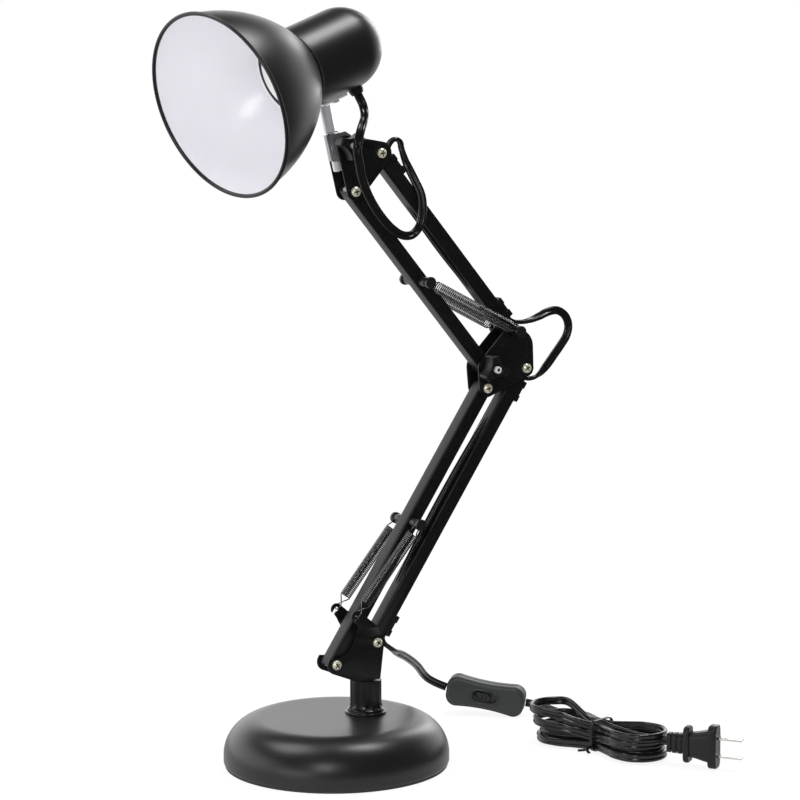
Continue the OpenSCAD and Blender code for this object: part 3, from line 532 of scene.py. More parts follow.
def swept(name, path, section, side, tangents=None):
    """Sweeps a closed section (side, up) in mm along a path in mm. side is its first direction, or one for
    each point."""
    n, count = len(section), len(path)
    sides = side if isinstance(side, list) else carried(path, side)
    points = [(p + x * s + y * t.cross(s)) * MM
              for p, t, s in zip(path, tangents or tangents_of(path), sides) for x, y in section]
    faces = [(i * n + j, i * n + (j + 1) % n, (i + 1) * n + (j + 1) % n, (i + 1) * n + j)
             for i in range(count - 1) for j in range(n)]
    return new_piece(name, points,
                     faces + [tuple(range(n - 1, -1, -1)), tuple((count - 1) * n + j for j in range(n))])


def round_section(radius, sides=10):
    return [(radius * math.cos(2 * math.pi * k / sides), radius * math.sin(2 * math.pi * k / sides))
            for k in range(sides)]


CORD_W, CORD_T = 6.2, 3.1
wire_r = CORD_T / 2
groove_angle = math.radians(150)
twin_section = [(s * (CORD_W / 2 - wire_r + wire_r * math.cos(a)), s * wire_r * math.sin(a))
                for s in (1, -1) for a in np.linspace(-groove_angle, groove_angle, 11)]
print("cord section points:", len(twin_section))


# %% Routes of the free cord, in mm
main_route = [[41, 0, 80.5], [46, 1, 77], [54, 9, 72.5], [64, 20.5, 67.5], [75, 33, 62], [86, 45, 56],
              [97, 57, 49.5], [107, 68, 43], [115, 77, 37], [120.5, 82.5, 32.5], [127, 86.3, 27.5],
              [134, 86.6, 23.3], [140.9, 83.4, 19.9]]
switch_route = [[188, 44, 10.2], [194.5, 36, 8.8], [199, 24, 7.2], [201.3, 10, 6], [200.8, -4, 5.5],
                [197.8, -17, 5], [194, -28, 5]]
elbow_route = [[156.6, 0, 306.2], [162, 0, 307], [170, 0, 309.5], [178, 0, 312.5], [186, 0, 313],
               [192.5, 0, 309], [195.5, 0, 302], [194, 0, 294.5], [189, 0, 287.5], [183, 0, 280.5],
               [176.5, 0, 273], [170.5, 0, 267.5], [165.5, 0, 265], [160.3, 0, 264.6]]
head_route = [[54.8, 0, 433.6], [57.6, -1.5, 424], [62, -5.5, 412], [65.5, -9.2, 401], [66, -10, 389],
              [63.5, -10.2, 379.5], [57, -10.8, 373.5], [49, -11.5, 373.5], [40, -12.5, 378.5],
              [31, -13.5, 387], [23, -15.5, 396.5], [16, -18.5, 406.5], [10.5, -22.5, 416],
              [7.5, -24.8, 425], [5.4, -25.7, 433], [6.4, -25.5, 440], [9.8, -22.7, 447], [14.6, -17.4, 452],
              [19, -11.5, 455.2], [22, -6.2, 459.2], [22.4, -3, 464.5], [20.4, -1.3, 469.9],
              [19.5, -0.9, 472.3]]
CROSSWISE = (0, 1, 0)
TOWARDS_VIEWER = (stand - look_at).normalized()


def eased(share):
    t = min(1, max(0, share))
    return t * t * (3 - 2 * t)


def cord_stretch(name, path, sides, tangents, bodies, start, end, node=None, far_end="object", **more):
    """A free stretch of the cord, swept along its path and finished. Its bodies, start, end and far end are not
    used.
    """
    piece = swept(name, path, twin_section, sides, tangents)
    piece.data.materials.append(cord_black)
    if node:
        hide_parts(node)
    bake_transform(piece)
    print(name, "length, mm:", round(length_of(path), 1))
    return piece


def cut(path, sides, *near):
    """Splits a path, its sides and its tangents at its points nearest to the given ones."""
    marks = [0, *(min(range(len(path)), key=lambda k: (path[k] - Vector(q)).length) for q in near),
             len(path) - 1]
    tangents = tangents_of(path)
    return [(path[a:b + 1], sides[a:b + 1], tangents[a:b + 1]) for a, b in zip(marks, marks[1:])]


# %% [markdown]
# The elbow loop is split at its far end, into an upper half and a lower half. The loop at the head is split twice,
# because it passes three joints: the one at the end of the bars, the clamp that tilts, and the stem on which the
# head turns.

# %% Loops at the elbow and the head
elbow_path = smooth_path(elbow_route)
elbow_sides = shown_to(elbow_path, CROSSWISE, TOWARDS_VIEWER,
                       lambda share: eased(share * 4) * eased((1 - share) * 4))
upper_half, lower_half = cut(elbow_path, elbow_sides, (195.5, 0, 302))
cord_stretch("elbow_loop_upper", *upper_half, ("elbow_bracket", "upper_rear_bar"), upper_half[0][-1],
             upper_half[0][0], node="elbow_cord")
cord_stretch("elbow_loop_lower", *lower_half, ("elbow_bracket", "lower_rear_bar"), lower_half[0][0],
             lower_half[0][-1])

head_path = smooth_path(head_route)
head_sides = shown_to(head_path, CROSSWISE, TOWARDS_VIEWER, lambda share: eased(share / 0.12))
hanging, rising, turning = cut(head_path, head_sides, (60, -10.5, 376), (6, -25.6, 437))
cord_stretch("head_loop_hanging", *hanging, ("upper_rear_bar", "head_bracket"), hanging[0][0],
             hanging[0][-1], node="head_cord")
cord_stretch("head_loop_rising", *rising, ("head_bracket", "stem_clamp"), Vector((16, -18.5, 406.5)),
             rising[0][-1])
cord_stretch("head_loop_top", *turning, ("stem_clamp", "head"), turning[0][0], turning[0][-1])

# %% [markdown]
# The lead that leaves the base passes two joints, so it has two stretches too. The first hangs from the
# rear bar and ends with the bracket, and the second runs from the bracket to the switch, which lies on the
# table.


# %% Lead from the arm to the switch
main_path = smooth_path(main_route)
main_sides = shown_to(main_path, CROSSWISE, TOWARDS_VIEWER, lambda share: eased(share * 4))
at_bracket, to_switch = cut(main_path, main_sides, (66.5, 23, 66.3))
cord_stretch("lead_at_base", *at_bracket, ("lower_rear_bar", "base_bracket"), at_bracket[0][0],
             at_bracket[0][-1], node="main_cord")

# %% [markdown]
# ## The hank
# What is left of the lead lies in a hank: five long turns laid over each other and drawn together by a tie.
# Each turn is an oval with a waist. The turns differ in width, length and height, so that they lie side by
# side and on each other, as flat cord does when it is wound round a hand. The thin way of the cord faces
# along the table, so the folds bend it the easy way.

# %% Path of the hank
HANK_AT, HANK_HEADING = Vector((182, -66, 0)), math.radians(-72.6)
on_hank = Matrix.Translation(HANK_AT) @ Matrix.Rotation(HANK_HEADING, 4, "Z")
# Each turn: half width of its ends, reach of the near end and the far end, height there, then place and
# height at the waist on the outgoing and the returning side
turns = [(19.3, 53.0, 52.5, 4.4, 4.6, 9.6, 4.4, -9.0, 4.4),
         (15.6, 49.5, 50.5, 4.6, 6.5, 5.6, 4.5, -5.2, 4.6),
         (16.8, 51.0, 48.5, 10.8, 11.2, 5.4, 10.9, -5.6, 10.9),
         (19.3, 56.4, 51.5, 16.4, 13.5, 9.4, 11.0, -9.4, 11.0),
         (18.2, 60.0, 52.8, 24.6, 18.8, 7.6, 17.4, -7.2, 17.4)]
WAIST_RUN = 33


def waist_point(x, side, width, waist, z_end, z_waist):
    share = eased(abs(x) / WAIST_RUN)
    return (x, side * (abs(waist) + (width - abs(waist)) * share), z_waist + (z_end - z_waist) * share)


def hank_points():
    points = [(-33, 21.9, 5.0), (-22, 15.6, 4.8)]
    for i, (width, near, far, z_near, z_far, waist_out, z_out, waist_back, z_back) in enumerate(turns):
        if i:
            previous = turns[i - 1]
            points += [waist_point(x, 1, previous[0] + (width - previous[0]) * t, waist_out, previous[3],
                                   z_out) for x, t in ((-30, 0.2), (-20, 0.5))]
        points += [(-9, waist_out + 0.9, z_out), (4, waist_out, z_out)]
        points += [waist_point(x, 1, width, waist_out, z_far, z_out) for x in (15, 25)]
        centre = far - width
        points += [(centre + width * math.cos(a), width * math.sin(a), z_far)
                   for a in np.radians((75, 45, 15, -15, -45, -75))]
        points += [waist_point(x, -1, width, waist_back, z_far, z_back) for x in (25, 15)]
        points += [(2, waist_back, z_back)]
        points += [waist_point(x, -1, width, waist_back, z_near, z_back) for x in (-15, -25)]
        centre = -(near - width)
        points += [(centre + width * math.cos(a), width * math.sin(a), z_near)
                   for a in np.radians((-105, -135, -165, -195, -225, -255))]
    points += [(-22, 9.5, 18.6), (-10, 3.5, 18.4), (4, 0.6, 18.0), (18, -2.6, 17.4), (32, -3.4, 16.8),
               (44, -1.6, 16.2), (52, 0.8, 16.0), (58.5, 2.6, 16.0)]
    return points


hank_path = [on_hank @ Vector(p) for p in hank_points()]
after_switch = smooth_path(switch_route[:-1] + [list(p) for p in hank_path], spacing=1.7)
print("cord after the switch, m:", round(length_of(after_switch) / 1000, 3))
wound = swept("hank_winding", after_switch, twin_section, (0, 0, 1))
wound.data.materials.append(cord_black)
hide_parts("cord_hank")
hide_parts("switch_cord")
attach(wound, "base")

# %% [markdown]
# ## Springs, by a rule
# Each arm is balanced by a pair of springs. A spring is the clearest case for Geometry Nodes: a spiral with a
# given number of turns, stretched between two points, with a round wire swept along it. The tree below has those
# sizes as inputs, so all four springs share it. The hooks at the ends are bent as paths.


# %% Tools for node trees
def geometry_tree(name, inputs):
    """A geometry node tree with named inputs (label, socket kind, default), and its two end nodes."""
    tree = bpy.data.node_groups.new(name, "GeometryNodeTree")
    tree.interface.new_socket("Geometry", in_out="INPUT", socket_type="NodeSocketGeometry")
    for label, kind, value in inputs:
        socket = tree.interface.new_socket(label, in_out="INPUT", socket_type="NodeSocket" + kind)
        if value is not None:
            socket.default_value = value
    tree.interface.new_socket("Geometry", in_out="OUTPUT", socket_type="NodeSocketGeometry")
    return tree, tree.nodes.new("NodeGroupInput"), tree.nodes.new("NodeGroupOutput")


def node_in(tree, kind, settings=None, **links):
    """Adds a node; links gives its inputs by name, as values or as sockets to link."""
    node = tree.nodes.new(kind)
    for key, value in (settings or {}).items():
        setattr(node, key, value)
    for label, value in links.items():
        socket = node.inputs[int(label[1:])] if label[0] == "_" else node.inputs[label.replace("_", " ")]
        if isinstance(value, bpy.types.NodeSocket):
            tree.links.new(value, socket)
        else:
            socket.default_value = value
    return node


def ended(tree, geometry, finish_socket, out):
    """Ends a tree: smooth shading, instances made real, and the finish."""
    smooth = node_in(tree, "GeometryNodeSetShadeSmooth", Geometry=geometry)
    real = node_in(tree, "GeometryNodeRealizeInstances", Geometry=smooth.outputs[0])
    painted = node_in(tree, "GeometryNodeSetMaterial", Geometry=real.outputs[0], Material=finish_socket)
    tree.links.new(painted.outputs[0], out.inputs[0])


def grown(name, tree, values, start=None):
    """A plain mesh from a tree, with its inputs set by their sockets' identifiers."""
    piece = start or bpy.data.objects.new(name, bpy.data.meshes.new(name))
    if not start:
        scene.collection.objects.link(piece)
    modifier = piece.modifiers.new("rule", "NODES")
    modifier.node_group = tree
    identifiers = {s.name: s.identifier for s in tree.interface.items_tree if s.in_out == "INPUT"}
    for label, value in values.items():
        modifier[identifiers[label]] = value
    baked(piece)
    piece.name = name
    return piece


# %% The spring tree
spring_tree, given, out = geometry_tree("close_wound_spring", [
    ("From", "Vector", (0, 0, 0)), ("To", "Vector", (0, 0, 0.1)), ("Coil Radius", "Float", 0.004),
    ("Wire Radius", "Float", 0.0005), ("Turns", "Float", 40.0), ("Steps per Turn", "Int", 20),
    ("Finish", "Material", None)])
reach = node_in(spring_tree, "ShaderNodeVectorMath", {"operation": "SUBTRACT"}, _0=given.outputs["To"],
                _1=given.outputs["From"])
span = node_in(spring_tree, "ShaderNodeVectorMath", {"operation": "LENGTH"}, _0=reach.outputs[0])
spiral = node_in(spring_tree, "GeometryNodeCurveSpiral", Resolution=given.outputs["Steps per Turn"],
                 Rotations=given.outputs["Turns"], Start_Radius=given.outputs["Coil Radius"],
                 End_Radius=given.outputs["Coil Radius"], Height=span.outputs["Value"])
aim = node_in(spring_tree, "FunctionNodeAlignRotationToVector", {"axis": "Z"}, Vector=reach.outputs[0])
laid = node_in(spring_tree, "GeometryNodeTransform", Geometry=spiral.outputs[0],
               Translation=given.outputs["From"], Rotation=aim.outputs[0])
wire = node_in(spring_tree, "GeometryNodeCurvePrimitiveCircle", Resolution=7,
               Radius=given.outputs["Wire Radius"])
swept_wire = node_in(spring_tree, "GeometryNodeCurveToMesh", Curve=laid.outputs[0],
                     Profile_Curve=wire.outputs[0], Fill_Caps=True)
ended(spring_tree, swept_wire.outputs[0], given.outputs["Finish"], out)
print("spring tree nodes:", len(spring_tree.nodes))

# %% The four springs
COIL_R, WIRE_R = 3.75, 0.46
LOOP_R = 2.75


def hook(anchor, towards, side, through):
    """A hairpin of wire from both sides of the coil's end round the anchor, in mm, turned by an angle on the
    way."""
    u = (towards - anchor).normalized()
    v = Vector(side).normalized()

    def out(height):
        a = math.radians(through) * eased(1 - height / COIL_END)
        return math.cos(a) * v + math.sin(a) * u.cross(v)

    leg = [(COIL_END, COIL_R), (7.6, COIL_R * 0.93), (5.6, LOOP_R * 0.9), (3.4, LOOP_R * 0.86),
           (1.4, LOOP_R)]
    path = [anchor + h * u + r * out(h) for h, r in leg]
    path += [anchor + LOOP_R * (math.cos(a) * out(0) - math.sin(a) * u)
             for a in np.radians(range(10, 171, 20))]
    path += [anchor + h * u - r * out(h) for h, r in reversed(leg)]
    return smooth_path(path, spacing=0.6)


COIL_END = 8.4
SPRING_Y = 15.0
horn_hole = swivel_axis / MM + Vector((-15.3, 0, 61.6))
lower_stud = base_front / MM + 0.508 * (elbow_front - base_front) / MM
upper_stud = knee_front / MM + 0.5 * (head_front - knee_front) / MM
horn_seat = horn_hole + LOOP_R * (lower_stud - horn_hole).normalized()
for arm, low, high, coils, bodies in (
        ("lower", horn_seat, lower_stud, 46, ("base_bracket", "lower_front_bar")),
        ("upper", knee_rear / MM, upper_stud, 44, ("elbow_bracket", "upper_front_bar"))):
    for side, y in (("near", -SPRING_Y), ("far", SPRING_Y)):
        first, last = (Vector((p.x, y, p.z)) for p in (low, high))
        u = (last - first).normalized()
        node = f"{arm}_spring_{side}"
        coil = grown("coil", spring_tree, {
            "From": tuple((first + COIL_END * u) * MM), "To": tuple((last - COIL_END * u) * MM),
            "Coil Radius": COIL_R * MM, "Wire Radius": WIRE_R * MM, "Turns": float(coils),
            "Steps per Turn": 20, "Finish": spring_black})
        hook_side = u.cross(Vector((0, 1, 0)))
        ends = [swept("hook", hook(first, last, hook_side, 90 if arm == "lower" else 0),
                      round_section(WIRE_R, 7), (0, 1, 0)),
                swept("hook", hook(last, first, hook_side, 0), round_section(WIRE_R, 7), (0, 1, 0))]
        for end in ends:
            end.data.materials.append(spring_black)
        spring = joined(node + "_wire", [coil, *ends])
        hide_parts(node)
        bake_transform(spring)
        print(spring.name, "length, mm:", round((last - first).length, 1), "faces:",
              len(spring.data.polygons))

# %% [markdown]
# ## Screws and nuts, set by a rule
# The pivots are held by small pan head screws with a cross recess, and by nuts behind. One head and one nut are
# made once, and a tree sets copies at points. Each copy is turned about its own axis by a seeded random angle,
# because nobody lines up screw slots. The lower part of each recess is filled by a dark insert: painted shade,
# standing in for the shade deep in the recess.

# %% The screw tree
setting_tree, given, out = geometry_tree("set_at_points", [
    ("Part", "Object", None), ("Size", "Float", 1.0), ("Axis Tilt", "Rotation", (0, 0, 0)),
    ("Seed", "Int", 4), ("Finish", "Material", None)])
part = node_in(setting_tree, "GeometryNodeObjectInfo", {"transform_space": "ORIGINAL"},
               Object=given.outputs["Part"])
dots = node_in(setting_tree, "GeometryNodeMeshToPoints", Mesh=given.outputs["Geometry"])
spin = node_in(setting_tree, "FunctionNodeRandomValue", {"data_type": "FLOAT_VECTOR"}, _0=(0, 0, 0),
               _1=(0, 0, math.pi), Seed=given.outputs["Seed"])
own_turn = node_in(setting_tree, "FunctionNodeEulerToRotation", Euler=spin.outputs[0])
both = node_in(setting_tree, "FunctionNodeRotateRotation", {"rotation_space": "LOCAL"},
               Rotation=given.outputs["Axis Tilt"], Rotate_By=own_turn.outputs[0])
copies = node_in(setting_tree, "GeometryNodeInstanceOnPoints", Points=dots.outputs[0],
                 Instance=part.outputs["Geometry"], Rotation=both.outputs[0], Scale=given.outputs["Size"])
ended(setting_tree, copies.outputs[0], given.outputs["Finish"], out)


def cut_out(piece, cutter):
    """Takes the cutter's space out of the piece."""
    modifier = piece.modifiers.new("cut", "BOOLEAN")
    modifier.operation = "DIFFERENCE"
    modifier.solver = "EXACT"
    modifier.object = cutter
    baked(piece)
    bpy.data.objects.remove(cutter)
    return piece


def block(name, low, high, matrix=Matrix.Identity(4), taper=1.0):
    """A box between two corners in mm; its top is the given share of its foot."""
    (x0, y0, z0), (x1, y1, z1) = low, high
    cx, cy = (x0 + x1) / 2, (y0 + y1) / 2
    points = [(x * MM, y * MM, z0 * MM) for x, y in ((x0, y0), (x1, y0), (x1, y1), (x0, y1))]
    points += [((cx + (x - cx) * taper) * MM, (cy + (y - cy) * taper) * MM, z1 * MM)
               for x, y in ((x0, y0), (x1, y0), (x1, y1), (x0, y1))]
    faces = [(3, 2, 1, 0), (4, 5, 6, 7), (0, 1, 5, 4), (1, 2, 6, 5), (2, 3, 7, 6), (3, 0, 4, 7)]
    return placed(new_piece(name, points, faces, smooth=False), matrix)


# %% One screw head and one nut
PAN_R, PAN_H = 3.5, 2.4
pan_head = turned("pan_head", [(0, -1.0), (1.95, -1.0)] + rounded(
    [(1.95, 0), (PAN_R, 0, 0.2), (PAN_R, 1.2, 1.4), (2.2, PAN_H, 1.2), (0, PAN_H)]), Matrix.Identity(4), 40)
recess = [((-2.2, -0.5), (2.2, 0.5), 0), ((-2.2, -0.5), (2.2, 0.5), 90), ((-0.85, -0.85), (0.85, 0.85), 45)]
# Dark inserts in the lower part of the recess: painted shade.
shade_inserts = []
for low, high, angle in recess:
    about = Matrix.Rotation(math.radians(angle), 4, "Z")
    cut_out(pan_head, block("recess", (*low, 0.6), (*high, 3.0), about))
    shade_inserts.append(block("floor", (*low, 0.55), (*high, 1.15), about))
crisp(pan_head, 30)
recess_floor = joined("recess_floor", shade_inserts)
NUT_AF, NUT_T = 7.0, 3.2
hexagon = [(NUT_AF / math.sqrt(3) * math.cos(math.radians(60 * k)),
            NUT_AF / math.sqrt(3) * math.sin(math.radians(60 * k))) for k in range(6)]
nut = new_piece("nut", [(x * MM, y * MM, z * MM) for z in (0, NUT_T) for x, y in hexagon],
                [tuple(range(5, -1, -1)), tuple(range(6, 12))]
                + [(k, (k + 1) % 6, 6 + (k + 1) % 6, 6 + k) for k in range(6)])
trim = turned("trim", [(NUT_AF / 2 + 0.1, NUT_T + 0.01), (NUT_AF / 2 + 1.2, NUT_T + 0.01),
                       (NUT_AF / 2 + 1.2, NUT_T - 1.0), (NUT_AF / 2 + 0.62, NUT_T - 0.45)],
              Matrix.Identity(4), 48)
cut_out(nut, trim)
crisp(nut, 25)
shank = turned("shank", [(0, NUT_T - 0.6), (1.98, NUT_T - 0.6)]
               + rounded([(1.98, 0), (1.98, NUT_T + 1.0, 0.4), (0, NUT_T + 1.0)])[1:], Matrix.Identity(4),
               24)
crisp(shank, 30)
nut = joined("nut_and_end", [nut, shank])
print("screw head faces:", len(pan_head.data.polygons), "nut faces:", len(nut.data.polygons))

# %% Screws and nuts at the pivots
PLATE_Y = 8.4
towards_viewer = Matrix.Rotation(math.radians(90), 4, "X").to_euler()
away_from_viewer = Matrix.Rotation(math.radians(-90), 4, "X").to_euler()
for place, body, pivots, seed in (("base", "base_bracket", (base_front, base_rear), 3),
                                  ("elbow", "elbow_bracket", (elbow_front, elbow_rear), 8),
                                  ("head", "head_bracket", (head_front, head_rear), 5)):
    # The screws' second layer is the painted shade in their recesses.
    for kind, layers, y, tilt in (
            ("screws", ((pan_head, zinc), (recess_floor, painted_shade)), -PLATE_Y, towards_viewer),
            ("nuts", ((nut, zinc),), PLATE_Y, away_from_viewer)):
        made = joined(f"{place}_{kind}_set", [
            grown("layer", setting_tree,
                  {"Part": layer, "Size": 1.0, "Axis Tilt": tilt, "Seed": seed, "Finish": paint_made},
                  start=new_piece("dots", [(p.x, y * MM, p.z) for p in pivots], []))
            for layer, paint_made in layers])
        standing_for(made, f"{place}_pivot_{kind}", body)
        print(made.name, "faces:", len(made.data.polygons))
for spare in (pan_head, recess_floor, nut):
    bpy.data.objects.remove(spare)

# %% [markdown]
# ## The shade, by a rule
# The shade is spun from one disc of steel, so its shape is a rule: the radius at each height follows a
# shallow arc from the rim, then a tight arc over the neck. A node group gives a point on an arc, and the
# tree uses it twice. A unit circle is swept along the axis with that radius. The wall is added after, with
# the outside in black and the inside in white, as it is sprayed.

# %% Sizes of the shade, in mm
RIM_R, SHADE_DEPTH, SHADE_WALL = 65.2, 66.0, 1.0
BEAD_R, NECK_R, SHADE_ARC_R, NECK_ARC_R = 1.4, 34.0, 109.7, 4.2
HOLDER_R = 19.5
NECK_TOP = SHADE_DEPTH + 0.8
foot, top = Vector((RIM_R - BEAD_R, BEAD_R)), Vector((NECK_R, SHADE_DEPTH - 2))
chord = top - foot
rise = math.sqrt(SHADE_ARC_R ** 2 - chord.length_squared / 4)
arc_centre = (foot + top) / 2 - rise * Vector((chord.y, -chord.x)).normalized()
low_angle = math.atan2(foot.y - arc_centre.y, foot.x - arc_centre.x)
neck_height = NECK_TOP - NECK_ARC_R
neck_centre = Vector((arc_centre.x + math.sqrt((SHADE_ARC_R - NECK_ARC_R) ** 2
                                               - (neck_height - arc_centre.y) ** 2), neck_height))
high_angle = math.atan2(neck_height - arc_centre.y, neck_centre.x - arc_centre.x)
print("arc from", round(math.degrees(low_angle), 1), "to", round(math.degrees(high_angle), 1), "degrees")

# %% The node group that gives a point on an arc
arc_point = bpy.data.node_groups.new("arc_point", "GeometryNodeTree")
for label in ("Centre Radius", "Centre Height", "Arc Radius", "From Angle", "To Angle", "Share"):
    arc_point.interface.new_socket(label, in_out="INPUT", socket_type="NodeSocketFloat")
for label in ("Radius", "Height"):
    arc_point.interface.new_socket(label, in_out="OUTPUT", socket_type="NodeSocketFloat")
given, out = arc_point.nodes.new("NodeGroupInput"), arc_point.nodes.new("NodeGroupOutput")
angle_at = node_in(arc_point, "ShaderNodeMapRange", {"clamp": True}, Value=given.outputs["Share"],
                   To_Min=given.outputs["From Angle"], To_Max=given.outputs["To Angle"])
for function, centre, label in (("COSINE", "Centre Radius", "Radius"), ("SINE", "Centre Height", "Height")):
    turn_part = node_in(arc_point, "ShaderNodeMath", {"operation": function}, _0=angle_at.outputs[0])
    spot = node_in(arc_point, "ShaderNodeMath", {"operation": "MULTIPLY_ADD"}, _0=turn_part.outputs[0],
                   _1=given.outputs["Arc Radius"], _2=given.outputs[centre])
    arc_point.links.new(spot.outputs[0], out.inputs[label])

# %% The shade tree
shade_tree, given, out = geometry_tree("spun_shade", [
    ("Rings", "Int", 60), ("Sides", "Int", 160), ("Neck from Share", "Float", 0.8),
    ("Skirt Centre Radius", "Float", 0.0), ("Skirt Centre Height", "Float", 0.0),
    ("Skirt Arc Radius", "Float", 0.1), ("Skirt From Angle", "Float", 0.0), ("Skirt To Angle", "Float", 1.0),
    ("Neck Centre Radius", "Float", 0.0), ("Neck Centre Height", "Float", 0.0),
    ("Neck Arc Radius", "Float", 0.004), ("Neck From Angle", "Float", 0.0), ("Neck To Angle", "Float", 1.5),
    ("Finish", "Material", None)])
axis_line = node_in(shade_tree, "GeometryNodeMeshLine", {"mode": "OFFSET"}, Count=given.outputs["Rings"])
axis_curve = node_in(shade_tree, "GeometryNodeMeshToCurve", Mesh=axis_line.outputs[0])
index = node_in(shade_tree, "GeometryNodeInputIndex")
last = node_in(shade_tree, "ShaderNodeMath", {"operation": "SUBTRACT"}, _0=given.outputs["Rings"], _1=1.0)
share = node_in(shade_tree, "ShaderNodeMath", {"operation": "DIVIDE"}, _0=index.outputs[0],
                _1=last.outputs[0])
parts = {}
for part_name, start, end in (("Skirt", 0.0, given.outputs["Neck from Share"]),
                              ("Neck", given.outputs["Neck from Share"], 1.0)):
    own = node_in(shade_tree, "ShaderNodeMapRange", {"clamp": True}, Value=share.outputs[0], From_Min=start,
                  From_Max=end)
    arc = node_in(shade_tree, "GeometryNodeGroup", {"node_tree": arc_point}, Share=own.outputs[0])
    for label in ("Centre Radius", "Centre Height", "Arc Radius", "From Angle", "To Angle"):
        shade_tree.links.new(given.outputs[f"{part_name} {label}"], arc.inputs[label])
    parts[part_name] = arc
in_neck = node_in(shade_tree, "FunctionNodeCompare", {"data_type": "FLOAT", "operation": "GREATER_THAN"},
                  _0=share.outputs[0], _1=given.outputs["Neck from Share"])
chosen = {label: node_in(shade_tree, "GeometryNodeSwitch", {"input_type": "FLOAT"}, _0=in_neck.outputs[0],
                         _1=parts["Skirt"].outputs[label], _2=parts["Neck"].outputs[label])
          for label in ("Radius", "Height")}
height = node_in(shade_tree, "ShaderNodeCombineXYZ", Z=chosen["Height"].outputs[0])
raised = node_in(shade_tree, "GeometryNodeSetPosition", Geometry=axis_curve.outputs[0],
                 Position=height.outputs[0])
wide = node_in(shade_tree, "GeometryNodeSetCurveRadius", Curve=raised.outputs[0],
               Radius=chosen["Radius"].outputs[0])
ring = node_in(shade_tree, "GeometryNodeCurvePrimitiveCircle", Resolution=given.outputs["Sides"], Radius=1.0)
spun = node_in(shade_tree, "GeometryNodeCurveToMesh", Curve=wide.outputs[0], Profile_Curve=ring.outputs[0])
if "Scale" in [s.name for s in spun.inputs]:
    shade_tree.links.new(chosen["Radius"].outputs[0], spun.inputs["Scale"])
ended(shade_tree, spun.outputs[0], given.outputs["Finish"], out)

# %% The shade's wall and its rolled rim
shade = grown("shade_shell", shade_tree, {
    "Rings": 72, "Sides": 160, "Neck from Share": 0.8, "Skirt Centre Radius": arc_centre.x * MM,
    "Skirt Centre Height": arc_centre.y * MM, "Skirt Arc Radius": SHADE_ARC_R * MM,
    "Skirt From Angle": low_angle, "Skirt To Angle": high_angle, "Neck Centre Radius": neck_centre.x * MM,
    "Neck Centre Height": neck_centre.y * MM, "Neck Arc Radius": NECK_ARC_R * MM,
    "Neck From Angle": high_angle, "Neck To Angle": math.pi / 2, "Finish": shade_black})
closed(shade)
reach_out = shade.data.polygons[0]
if reach_out.normal.x * reach_out.center.x + reach_out.normal.y * reach_out.center.y < 0:
    shade.data.flip_normals()
shade.data.materials.append(shade_white)
wall = shade.modifiers.new("wall", "SOLIDIFY")
wall.thickness = SHADE_WALL * MM
wall.offset = -1
wall.material_offset = 1
wall.use_even_offset = True
baked(shade)
shade.data.shade_smooth()
crisp(shade, 50)
placed(shade, on_head)
bead = turned("rim_bead", [(RIM_R - BEAD_R + BEAD_R * math.cos(a), BEAD_R + BEAD_R * math.sin(a))
                           for a in np.linspace(0, 2 * math.pi, 20, endpoint=False)], on_head, 160)
neck_ring = turned("neck_ring",
                   [(HOLDER_R + 0.1, NECK_TOP - SHADE_WALL), (neck_centre.x + 0.3, NECK_TOP - SHADE_WALL),
                    (neck_centre.x + 0.3, NECK_TOP), (HOLDER_R + 0.1, NECK_TOP)], on_head, 96)
for piece in (bead, neck_ring):
    piece.data.materials.append(shade_black)
crisp(neck_ring)
shade = joined("shade_shell", [shade, bead, neck_ring])
standing_for(shade, "shade", "head")
print("shade faces:", len(shade.data.polygons), "radius, mm:", round(max(
    ((on_head.inverted() @ v.co).xy.length for v in shade.data.vertices)) / MM, 2))

# %% [markdown]
# ## Turned and pressed parts
# The cup behind the shade, the lampholder in it, the base and its weight are all round, so the lathe makes
# them, with a fillet where the press or the mould leaves one.

# %% The cup and the lampholder
CUP_R, CUP_START, CUP_LEN = 28.8, 68.9, 47.0
CUP_END = CUP_START + CUP_LEN


def dome(radius, centre, start, end, steps=22):
    return [(radius * math.cos(a), centre + radius * math.sin(a)) for a in np.linspace(start, end, steps)]


inside = CUP_R - SHADE_WALL
cup_outer = rounded([(CUP_R - 3, SHADE_DEPTH + 0.8), (CUP_R - 0.6, SHADE_DEPTH + 0.8, 0.8),
                     (CUP_R - 0.2, CUP_START, 0.8), (CUP_R + 0.6, CUP_START + 0.1, 0.6),
                     (CUP_R + 0.6, CUP_START + 1.6, 0.7), (CUP_R, CUP_START + 2.2, 0.6), (CUP_R, CUP_END)],
                    5)
cup_profile = (cup_outer + dome(CUP_R, CUP_END, 0, math.pi / 2 - 0.001) + [(0.05, CUP_END + inside)]
               + dome(inside, CUP_END, math.pi / 2 - 0.01, 0)
               + [(inside, CUP_START), (inside, SHADE_DEPTH + 1.8), (CUP_R - 3, SHADE_DEPTH + 1.8)])
cup = crisp(turned("cup_shell", cup_profile, on_head, 144), 42)
standing_for(cup, "lamp_cup", "head", shade_black)

LAMP_BORE_R, SHELL_WALL = 13.0, 0.6
bore = LAMP_BORE_R + SHELL_WALL + 0.05
holder = turned("lampholder_body", rounded([
    (bore, SHADE_DEPTH - 6), (HOLDER_R, SHADE_DEPTH - 6, 1.2), (HOLDER_R, SHADE_DEPTH - 3.2, 0.3),
    (HOLDER_R + 4, SHADE_DEPTH - 3.2, 0.5), (HOLDER_R + 4, SHADE_DEPTH - 0.4, 0.5),
    (HOLDER_R, SHADE_DEPTH - 0.4, 0.3), (HOLDER_R, SHADE_DEPTH + 40, 1.5), (0.05, SHADE_DEPTH + 40),
    (0.05, SHADE_DEPTH + 27), (bore, SHADE_DEPTH + 27)], 4), on_head, 96)
standing_for(crisp(holder, 30), "lampholder", "head", holder_white)
thread = [(LAMP_BORE_R + 0.28 * math.cos(2 * math.pi * k / 10), SHADE_DEPTH - 4 + 22 * k / 70)
          for k in range(70)]
